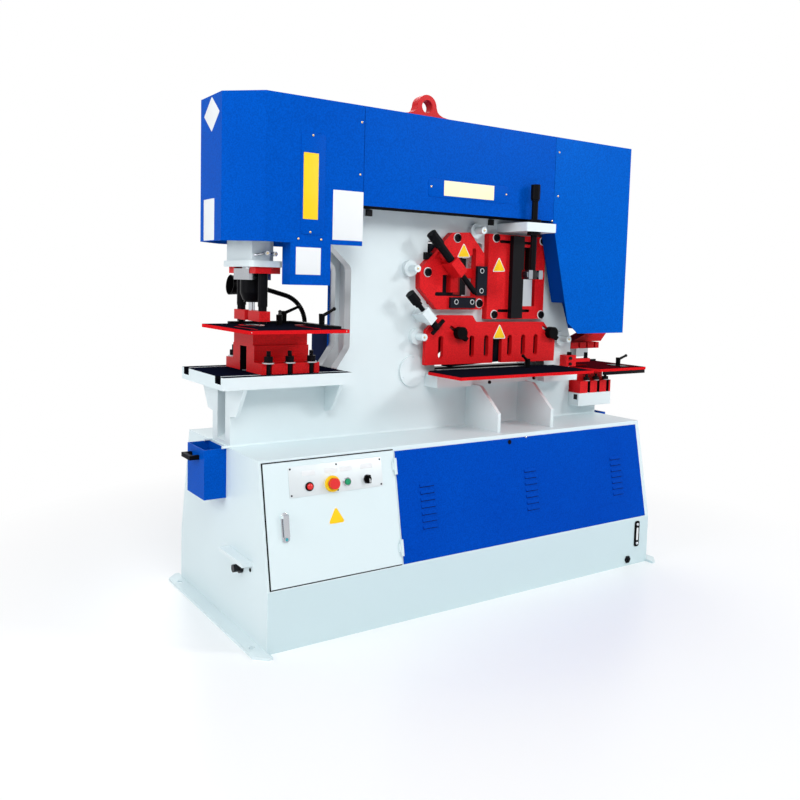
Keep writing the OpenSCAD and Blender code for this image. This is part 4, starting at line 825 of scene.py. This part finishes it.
# ------------------------------------------------------------------ sub-assemblies
@dataclass
class Cabinet:
    """Fittings of the base: oil gauge, drain plug, lock, strips of painted shade under the louvres and round
    the door, and weld beads.
    """

    gauge_x: float = 895.0
    gauge_z: Pair = (83.0, 202.0)
    gauge_wall: float = -419.0
    gauge_half: float = 15.0
    gauge_thick: float = 9.0
    glass_half: float = 6.0
    glass_margin: float = 30.0
    bolt_margin: float = 15.0
    drain: Triple = (839.0, -421.0, 30.0)
    drain_height: float = 9.0
    skin: float = -3.0
    keyhole: Pair = (162.0, -32.0)
    panel_screw: Pair = (257.0, -19.0)
    end_plug: Triple = (-972.0, -281.0, 254.8)
    louvre_x: tuple[float, ...] = (-278.0, 261.0, 785.0)
    louvre_count: int = 7
    louvre_pitch: float = 26.5
    strip_half: float = 33.0
    strip_y: Pair = (-3.4, -2.05)
    strip_z: Pair = (-166.6, -164.2)
    gap_y: Pair = (-1.6, -0.05)
    gap_end: float = -420.5
    bead_radius: float = 5.0
    bead_wave: float = 9.0
    bead_step: float = 2.2
    bead_z: float = 654.0

    def build(self) -> None:
        """Makes the cabinet's pieces."""
        self.oil_gauge()
        x, y, z = self.drain
        head = hexagon(30, self.drain_height, self.drain)
        put("drain_plug", [head, dome_screw(16, 5, (x, y - self.drain_height, z))], BLACK)
        self.panel_lock()
        self.louvre_shade_strips()
        self.door_gap_shade()
        put("inlet_plug", turned([(7, 0), (7, 1.5), (5, 3), (0.1, 3.2)], self.end_plug, LEFT, 20), PLASTIC)
        self.weld_beads()

    def oil_gauge(self) -> None:
        """Sight gauge: a black frame, a clear-looking strip and two bolts."""
        x, (low, high) = self.gauge_x, self.gauge_z
        wall, thick = self.gauge_wall, self.gauge_thick
        face = wall - thick
        frame_x = (x - self.gauge_half, x + self.gauge_half)
        put("gauge_body", wall_plate(frame_x, self.gauge_z, wall, thick, 9.0, 2.0), PLASTIC)
        glass_x = (x - self.glass_half, x + self.glass_half)
        glass_z = (low + self.glass_margin, high - self.glass_margin)
        put("gauge_glass", wall_plate(glass_x, glass_z, face + 0.4, 2.2, 5.0, 1.0), PALE)
        ends = (low + self.bolt_margin, high - self.bolt_margin)
        put("gauge_bolts", [dome_screw(15, 6, (x, face + 0.2, z)) for z in ends], CHROME)

    def panel_lock(self) -> None:
        """Lock barrel and screw at the head of the louvred panel."""
        (kx, kz), (sx, sz) = self.keyhole, self.panel_screw
        place = (kx, self.skin, kz)
        barrel = [ring(9, 3.2, 2.5, place), turned([(3.3, 0), (3.3, 1.2), (0.1, 1.2)], place, FRONT, 16)]
        put("panel_lock", on_slope(join(barrel)), BLACK)
        put("panel_screw", on_slope(dome_screw(9, 3, (sx, self.skin, sz))), CHROME)

    def louvre_shade_strips(self) -> None:
        """Dark strips under the hoods of the three rows of louvres: painted shade."""
        low, high = self.strip_z
        shade_strips = [bar((x - self.strip_half, x + self.strip_half), self.strip_y, (low - drop, high - drop), 0.3)
                 for x in self.louvre_x for drop in self.louvre_pitch * np.arange(self.louvre_count)]
        put("louvre_shade_strips", on_slope(join(shade_strips)), LOUVRE_SHADE)

    def door_gap_shade(self) -> None:
        """Black strips of painted shade in the gap round the head, the foot and the free side of the door."""
        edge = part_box("door")[0][0] / MM
        strips = [bar((edge - 5.2, right), self.gap_y, z, 0.3) for right, z in (
            (edge - 0.9, (-440, -9)), (self.gap_end, (-12.2, -8.6)), (self.gap_end, (-441.2, -438.2)))]
        put("door_gap_shade", on_slope(join(strips)), PLASTIC)

    def weld_beads(self) -> None:
        """Rippled bead where the frame meets the cabinet: r(x) = R (1 + 0.14 sin(2 pi x / wave))."""
        low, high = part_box("frame_front_plate")
        x = np.arange(low[0] / MM + 4, high[0] / MM - 4, self.bead_step)
        radius = self.bead_radius * (1 + 0.14 * np.sin(2 * np.pi * x / self.bead_wave))
        beads = []
        for node, side in (("frame_front_plate", 0), ("frame_rear_plate", 1)):
            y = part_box(node)[side][1] / MM
            path = np.column_stack([x, np.full_like(x, y), np.full_like(x, self.bead_z)])
            beads.append(tube(path, radius, sides=8))
        put("weld_beads", beads, WHITE)


@dataclass
class ControlDoor:
    """Everything that is fixed to the cabinet's door, in the plane of the slope."""

    plate_x: Pair = (-865.0, -478.0)
    plate_z: Pair = (-139.7, -31.6)
    plate_thick: float = 1.6
    skin: float = -3.0
    row_z: float = -107.0
    caption_z: Pair = (-68.0, -50.0)
    caption_half: float = 26.0
    places: tuple[float, ...] = (-786.0, -696.0, -632.0, -546.0)
    collar_wall: float = -6.1
    cap_wall: float = -25.0
    lock_x: float = -891.0
    lock_z: float = -236.0
    lock_button_z: float = -276.0
    sign_foot: Pair = (-686.0, -251.0)
    sign_half: float = 39.0
    sign_rise: float = 67.0

    def build(self) -> None:
        """Makes the control plate, its lamps and rings, the lock and the blank triangle."""
        face = self.skin - self.plate_thick
        (x0, x1), (z0, z1) = self.plate_x, self.plate_z
        plate = wall_plate(self.plate_x, self.plate_z, self.skin, self.plate_thick, 3.0, 0.5)
        self.fix("control_plate", plate, SILVER)
        screws = [dome_screw(7, 2.4, (x, face, z))
                  for x in (x0 + 8, (x0 + x1) / 2, x1 - 8) for z in (z0 + 8, z1 - 8)]
        self.fix("control_screws", join(screws), BLACK)
        half = self.caption_half
        captions = [wall_plate((x - half, x + half), self.caption_z, face, 0.5, 2.0, 0.2)
                    for x in self.places]
        self.fix("caption_fields", join(captions), PALE)
        self.buttons(face)
        self.lock()
        self.blank_triangle()

    def fix(self, name: str, shell: Shell, finish: Finish, body: str = "door") -> None:
        """Lays a piece made for an upright wall on the slope, carried by the door or by a body on it."""
        put(name, on_slope(shell), finish, body)

    def buttons(self, face: float) -> None:
        """Rings and collars round the controls, and the pilot lamp.

        Args:
            face: the control plate's front, in the slope's own depth.
        """
        pilot, stop, start, select = self.places
        z = self.row_z
        lens = [(11.5, 0), (11.5, 5), (10.5, 8), (7.5, 10), (3.5, 11), (0.1, 11.3)]
        self.fix("pilot_lens", turned(lens, (pilot, face - 2, z)), RED_CAP)
        self.fix("pilot_ring", ring(16, 11.6, 5, (pilot, face, z)), PLASTIC)
        self.fix("stop_collar", ring(29, 20.6, 11, (stop, self.collar_wall, z), FRONT, 48), YELLOW)
        rings = [ring(15.5, 13.2, 6, (start, face, z)), ring(18.5, 15.4, 4, (select, face, z))]
        self.fix("button_rings", join(rings), CHROME)
        mark = wall_plate((select - 1.4, select + 1.4), (z - 13, z + 2), self.cap_wall, 0.5, 1.2, 0.2)
        self.fix("selector_mark", mark, PALE, "selector")

    def lock(self) -> None:
        """Long rounded escutcheon under the handle, with a push button at its foot."""
        plate = raised_plate(soft_rectangle(30, 103, 14.5, 10), 5.2, 2.0, 4)
        foot = (self.lock_x, self.skin - 5.0, self.lock_button_z)
        shells = [facing(plate, (self.lock_x, self.skin, self.lock_z)), ring(8.6, 6.0, 4.2, foot)]
        self.fix("lock_plate", join(shells), CHROME)
        self.fix("lock_button", turned([(5.8, 0), (5.8, 4), (4.6, 5.2), (0.1, 5.6)], foot), TEAL)

    def blank_triangle(self) -> None:
        """Plain yellow triangle with a pale edge."""
        x, z = self.sign_foot
        corners = [(x - self.sign_half, z), (x + self.sign_half, z), (x, z + self.sign_rise)]
        self.fix("door_triangle_edge", triangle(corners, self.skin, 0.6, 7.0), PALE)
        self.fix("door_triangle", triangle(shrunk(corners, 0.88), self.skin - 0.6, 0.5, 6.0), YELLOW)


@dataclass
class HeadCovers:
    """Access plates, blank fields and screws on the blue covers.

    Fields give each access plate's sides, heights and corner radius, and each blank field's
    name, finish, sides, heights and whether it lies on an access plate.
    """

    front: float = -198.0
    end: float = -1012.0
    access_thick: float = 2.0
    access: tuple = (((-755, -656), (1440, 1804), 14.0), ((-188, 233), (1618, 1690), 10.0))
    blanks: tuple = (
        ("yellow_plate", YELLOW, (-745, -684), (1495, 1733), True),
        ("white_plate", PALE, (-620, -489), (1426, 1610), False),
        ("cream_plate", CREAM, (-110, 153), (1627, 1687), True),
        ("flap_plate", PALE, (-770, -668), (1294, 1393), False),
    )
    blank_thick: float = 0.6
    end_field: tuple = ((-21, 81), (1411, 1561))
    diamond: tuple = ((-74, 0), (0, -62), (74, 0), (0, 62))
    diamond_centre: Pair = (8.0, 1862.5)
    screws: tuple = (
        (-502, 1868), (-505, 1675), (-761, 1423), (-668, 1424), (525, 1865), (527, 1673), (496, 1562),
        (-708, 1796), (-714, 1449), (-174, 1658), (221, 1657),
    )
    rear_x: Pair = (-470.0, 480.0)
    rear_z: Triple = (1600.0, 1750.0, 1890.0)

    def build(self) -> None:
        """Makes the plates first, then the fields and the screws on them."""
        raised = self.front - self.access_thick
        plates = [wall_plate(x, z, self.front, self.access_thick, edge, 0.8) for x, z, edge in self.access]
        put("access_plates", plates, BLUE)
        for name, finish, x, z, on_access in self.blanks:
            wall = raised if on_access else self.front
            put(name, wall_plate(x, z, wall, self.blank_thick, 1.5, 0.2), finish)
        end = wall_plate(*self.end_field, self.end, self.blank_thick, 2.0, direction=Axis.LEFT)
        put("end_plate", end, PALE)
        diamond = raised_plate(rounded_outline(self.diamond, 4.0), self.blank_thick, 0.2)
        put("end_diamond", facing(diamond, (self.end, *self.diamond_centre), Axis.LEFT), PALE)
        front = [(x, raised if any(low < x < high for (low, high), *_ in self.access) else self.front, z)
                 for x, z in self.screws]
        put("cover_screws", self.heads(front), BRASS)
        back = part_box("middle_cover")[1][1] / MM
        put("rear_screws", self.heads([(x, back, z) for x in self.rear_x for z in self.rear_z], BACK), BRASS)

    def heads(self, places: list, direction: Triple = FRONT) -> Shell:
        """Domed heads of the cover screws at some places, as one shell."""
        return join([dome_screw(9.5, 3.2, place, direction) for place in places])


@dataclass
class PunchStation:
    """Couplings, washers, table marks and edge screws of the punch."""

    centre: Pair = (-845.0, 15.0)
    table_top: float = 1098.0
    mark_thick: float = 0.5
    pointer: tuple = ((-668, -606), (-20, 8))
    screw_x: Pair = (-985.0, -610.0)
    screw_z: float = 1091.5
    washer_z: float = 965.8
    bolt_x: Triple = (-848.0, -762.0, -672.0)
    bolt_y: Pair = (-145.0, 175.0)
    wall: float = -102.0
    nut_y: float = -131.0
    couplings: tuple = ((-854.0, 1368.0), (-822.0, 1366.0))
    pipe: tuple = (
        (-889, -100, 1360), (-884, -110, 1361), (-874, -116, 1363), (-858, -118, 1367), (-840, -118, 1367.5),
        (-822, -118, 1366.5),
    )
    pipe_radius: float = 4.2

    def build(self) -> None:
        """Makes the station's pieces from the head down."""
        self.plumbing()
        washers = [ring(23, 12.6, 4.9, (x, y, self.washer_z), UP) for x in self.bolt_x for y in self.bolt_y]
        put("clamp_washers", washers, STEEL)
        top = (self.table_top, self.table_top + self.mark_thick)
        circle = ring(50, 35, self.mark_thick, (*self.centre, self.table_top), UP)
        put("table_marks", [circle, bar(*self.pointer, top, 0.2)], MARK_RED)
        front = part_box("punch_table")[0][1] / MM + 1.2
        screws = [dome_screw(5.5, 1.8, (x, front, self.screw_z)) for x in self.screw_x]
        put("table_edge_screws", screws, STEEL)

    def plumbing(self) -> None:
        """Two pipe fittings and the short pipe between them and the housing."""
        ends = []
        for x, z in self.couplings:
            ends.append(hexagon(17, 12, (x, self.nut_y + 4, z)))
            ends.append(turned([(6.5, 0), (6.5, 26), (6.0, 27)], (x, self.wall, z), FRONT, 20))
        put("couplings", ends, CHROME)
        put("coupling_pipe", tube(self.pipe, self.pipe_radius, 14), CHROME)
        plugs = [turned([(4.2, 0), (4.2, 1.5), (2.2, 1.6), (0.1, 0.6)], (x, self.nut_y - 8, z), FRONT, 18)
                 for x, z in self.couplings]
        put("coupling_plugs", plugs, BRASS)


@dataclass
class BladeStations:
    """Washers, screw rings, blank triangles and small fittings on the section and angle shears.

    Each triangle is given by its name, its corners, its wall and the body that carries it.
    """

    plate_y: float = -103.0
    blade_y: float = -117.0
    beam_y: float = -70.6
    nipple_y: float = -141.0
    bolts: tuple = ((258, 1479), (537, 1477), (259, 1142), (540, 1141), (42, 1468), (-109, 1319), (172, 1191))
    blade_screws: tuple = ((36, 1197), (122, 1197), (172, 1246), (172, 1332))
    triangles: tuple = (
        ("section", ((42, 1385), (116, 1388), (77.5, 1449)), -103.0, "machine"),
        ("angle", ((241, 1330), (318, 1333), (278, 1397)), -103.0, "machine"),
        ("guard", ((241, 1036), (317, 1036), (278, 1103)), -122.0, "guard"),
    )
    lug: tuple = ((-112, -86), (-101, -71), (1372, 1402))
    ring_centre: Pair = (141.0, 1360.0)
    block: tuple = ((112, 149), (1299, 1342))
    nipples: tuple = ((157.0, 1504.0), (-186.0, 1332.0), (-143.0, 1050.0), (693.0, 1027.0))

    def build(self) -> None:
        """Makes the washers, screw rings, signs, lug, window fittings and nipple centres."""
        put("plate_washers", [ring(20.5, 15.5, 2.6, (x, self.plate_y, z)) for x, z in self.bolts], PALE)
        rings = [ring(11.5, 8.0, 1.2, (x, self.blade_y, z), FRONT, 28) for x, z in self.blade_screws]
        put("blade_screw_rings", rings, STEEL)
        for name, corners, wall, body in self.triangles:
            put(name + "_triangle_edge", triangle(corners, wall, 0.6, 5.0), PALE, body)
            put(name + "_triangle", triangle(shrunk(corners, 0.86), wall - 0.6, 0.5, 4.0), YELLOW, body)
        put("plate_lug", bar(*self.lug, 1.5), BLACK)
        x, z = self.ring_centre
        put("window_ring", ring(13, 7, 0.35, (x, self.beam_y, z), FRONT, 32), STEEL, "beam")
        put("window_block", wall_plate(*self.block, self.beam_y, 5.0, 1.0, 0.6), RED, "beam")
        cups = [turned([(5.0, 0), (5.0, 1.0), (3.0, 1.4), (0.1, 0.5)], (x, self.nipple_y, z), FRONT, 18)
                for x, z in self.nipples]
        put("nipple_centres", cups, BRASS)


@dataclass
class Tables:
    """Screws under the shear table, and the notcher's gauge bars, front strip and knobs."""

    screws: tuple = ((196, -161, 851), (500, -116, 851))
    notch_top: float = 885.0
    gauge: tuple = (((1046, 1094), (-165, -60), 4), ((1040, 1176), (128, 140), 10))
    strip: tuple = ((890, 1180), (-191, -178), (855, 871.8))
    thumb: Triple = (849.0, -104.0, 937.0)
    knob: Triple = (745.0, -96.0, 948.0)

    def build(self) -> None:
        """Makes the shear table's and the notcher's small pieces."""
        put("block_screws", [socket_screw(15, 6, place) for place in self.screws], BLACK)
        top = self.notch_top
        put("notch_gauge", [bar(x, y, (top, top + rise)) for x, y, rise in self.gauge], BLACK)
        put("notch_strip", bar(*self.strip, 1.0), BLACK)
        put("notch_thumb", knurled(9, 22, self.thumb), BLACK)
        put("guide_knob", knurled(11, 15, self.knob), BLACK)


@dataclass
class WorkLamp:
    """Ribbed sleeve on the lamp's arm, its base ring, the ribs on its shade and the bulb in it."""

    y: float = 205.0
    foot: Pair = (-545.0, 940.0)
    rise: Pair = (-520.0, 1066.0)
    centre: Pair = (-643.1, 1087.7)
    radius: float = 125.0
    far: Pair = (-717.0, 1236.9)
    shade: Triple = (-712.2, 205.0, 1235.6)
    way: Triple = (-0.99619, 0.0, 0.08716)
    sleeve: float = 9.6
    ripple: float = 1.0
    base_z: float = 926.0
    bulb_radius: float = 20.0
    bulb_height: float = 92.0
    bulb_neck: Pair = (10.0, 52.0)
    rib_heights: tuple[float, ...] = (6.0, 12.0, 18.0, 24.0, 30.0)

    def build(self) -> None:
        """Makes the sleeve, the base ring, the bulb and the shade's ribs."""
        path = self.path()
        radius = self.sleeve + self.ripple * np.sin(np.arange(len(path)) * np.pi / 2)
        put("lamp_sleeve", tube(path, radius, 18), PLASTIC, sharp=60.0)
        put("lamp_base", ring(24, 15.8, 8, (self.foot[0], self.y, self.base_z), UP), BLACK)
        globe = [self.bulb_neck, *arc((0.0, self.bulb_height), self.bulb_radius, -60, 86, 14)]
        put("lamp_bulb", turned(globe, self.shade, self.way), BULB)
        places = [tuple(np.asarray(self.shade) + np.asarray(self.way) * h) for h in self.rib_heights]
        put("lamp_ribs", [ring(25.5, 22.8, 2.2, place, self.way) for place in places], PLASTIC)

    def path(self) -> np.ndarray:
        """Centre line of the arm: a straight rise, an arc of 85 degrees and a straight end.

        Returns:
            Its points, in the plane of the lamp.
        """
        a, b = np.asarray(self.foot), np.asarray(self.rise)
        straight = a + (b - a) * np.linspace(0.12, 0.98, 58)[:, None]
        bend = arc(self.centre, self.radius, -10, 75, 92)
        far = np.asarray(self.far)
        end = bend[-1] + (far - bend[-1]) * np.linspace(0.03, 0.86, 46)[:, None]
        flat = np.vstack([straight, bend, end])
        return np.column_stack([flat[:, 0], np.full(len(flat), self.y), flat[:, 1]])


# ------------------------------------------------------------------ stage
@dataclass
class Studio:
    """Floor, soft lamps, pale surroundings and the camera."""

    place: Triple = (-2.14732, -2.89895, 1.27950)
    yaw: float = -33.686
    pitch: float = 4.878
    roll: float = 1.4467
    focal: float = 827.284
    centre: Pair = (390.772, 351.407)
    frame_size: float = 800.0
    floor_half: float = 14.0
    fade: Pair = (1.05, 2.3)
    lamps: tuple = (
        ("key", (-2.4, -4.6, 5.0), (0.0, 0.0, 1.0), 3.2, 190.0),
        ("fill", (4.0, -4.4, 3.8), (0.5, 0.0, 1.2), 1.3, 145.0),
        ("end", (-5.2, -0.4, 2.6), (-0.9, 0.0, 1.2), 2.4, 88.0),
        ("rear", (1.6, 4.6, 4.0), (0.0, 0.0, 1.2), 3.4, 90.0),
    )

    def build(self) -> None:
        """Sets up the stage in order: world, floor, lamps, camera."""
        self.world()
        self.floor()
        for name, place, target, size, power in self.lamps:
            self.lamp(name, place, target, size, power)
        self.camera()
        bpy.context.scene.view_settings.view_transform = "Standard"
        LOG.info("stage ready")

    def world(self) -> None:
        """Soft even light, seen as white by the camera, gloss and clear materials."""
        world = bpy.data.worlds.new("surroundings")
        bpy.context.scene.world = world
        world.use_nodes = True
        tree = world.node_tree
        tree.nodes.clear()
        light = add_node(tree, "Background", {"Color": (0.93, 0.96, 1.0), "Strength": 0.44})
        seen = add_node(tree, "Background", {"Color": (1.0, 1.0, 1.0), "Strength": 1.0})
        mix = add_node(tree, "MixShader", {0: self.seen_rays(tree), 1: light.outputs[0], 2: seen.outputs[0]})
        add_node(tree, "OutputWorld", {"Surface": mix.outputs[0]})

    def seen_rays(self, tree: Tree) -> Socket:
        """One for rays that show the surroundings: the largest of camera, gloss and transmission.

        Args:
            tree: the tree that takes the nodes.

        Returns:
            The socket that is one for such rays.
        """
        rays = add_node(tree, "LightPath").outputs
        most = math_node(tree, "MAXIMUM", rays["Is Camera Ray"], rays["Is Glossy Ray"])
        return math_node(tree, "MAXIMUM", most, rays["Is Transmission Ray"])

    def floor(self) -> None:
        """Pale floor that keeps the shadow and fades to white away from the machine."""
        half = self.floor_half
        corners = [(x * half, y * half, 0) for x, y in ((-1, -1), (1, -1), (1, 1), (-1, 1))]
        mesh = bpy.data.meshes.new("floor")
        mesh.from_pydata(corners, [], [(0, 1, 2, 3)])
        mat = bpy.data.materials.new("floor")
        mat.use_nodes = True
        tree = mat.node_tree
        shader = tree.nodes["Principled BSDF"]
        fill(tree, shader.inputs["Base Color"], (0.92, 0.925, 0.93))
        fill(tree, shader.inputs["Roughness"], 0.35)
        where = add_node(tree, "TexCoord").outputs["Object"]
        away = add_node(tree, "VectorMath", {0: where}, "LENGTH").outputs["Value"]
        near, far = self.fade
        fade = add_node(tree, "MapRange", {"From Min": near, "From Max": far, "Value": away})
        part = math_node(tree, "MULTIPLY", fade.outputs["Result"], self.seen_rays(tree))
        glow = add_node(tree, "Emission", {"Color": (1.0, 1.0, 1.0)})
        mix = add_node(tree, "MixShader", {0: part, 1: shader.outputs[0], 2: glow.outputs[0]})
        fill(tree, tree.nodes["Material Output"].inputs["Surface"], mix.outputs[0])
        mesh.materials.append(mat)
        obj = bpy.data.objects.new("floor", mesh)
        bpy.context.scene.collection.objects.link(obj)

    def lamp(self, name: str, place: Triple, target: Triple, size: float, power: float) -> None:
        """A square soft lamp that looks at a point.

        Args:
            name: name of the lamp.
            place: where it hangs.
            target: the point it looks at.
            size: length of its side.
            power: its power in watts.
        """
        data = bpy.data.lights.new(name, "AREA")
        data.size = size
        data.energy = power
        obj = bpy.data.objects.new(name, data)
        way = Vector(target) - Vector(place)
        obj.matrix_world = Matrix.Translation(place) @ way.to_track_quat("-Z", "Y").to_matrix().to_4x4()
        bpy.context.scene.collection.objects.link(obj)

    def camera(self) -> None:
        """Camera whose axes come from yaw, pitch and roll, with a small lens shift."""
        y, p, r = (math.radians(v) for v in (self.yaw, self.pitch, self.roll))
        look = Vector((-math.sin(y) * math.cos(p), math.cos(y) * math.cos(p), -math.sin(p)))
        right = Vector((math.cos(y), math.sin(y), 0.0))
        up = right.cross(look)
        x_axis = math.cos(r) * right + math.sin(r) * up
        y_axis = -math.sin(r) * right + math.cos(r) * up
        data = bpy.data.cameras.new("camera")
        data.sensor_width = 36.0
        data.lens = self.focal / self.frame_size * data.sensor_width
        data.shift_x = (self.frame_size / 2 - self.centre[0]) / self.frame_size
        data.shift_y = (self.centre[1] - self.frame_size / 2) / self.frame_size
        obj = bpy.data.objects.new("camera", data)
        turn = Matrix((x_axis, y_axis, -look)).transposed().to_4x4()
        obj.matrix_world = Matrix.Translation(self.place) @ turn
        bpy.context.scene.collection.objects.link(obj)
        bpy.context.scene.camera = obj


def main() -> None:
    """Builds everything in order."""
    logging.basicConfig(level=logging.INFO, format="%(name)s: %(message)s")
    dress_frame()
    Studio().build()
    for assembly in (Cabinet, ControlDoor, HeadCovers, PunchStation, BladeStations, Tables, WorkLamp):
        assembly().build()
        LOG.info("built %s", assembly.__name__)


if __name__ == "__main__":
    main()
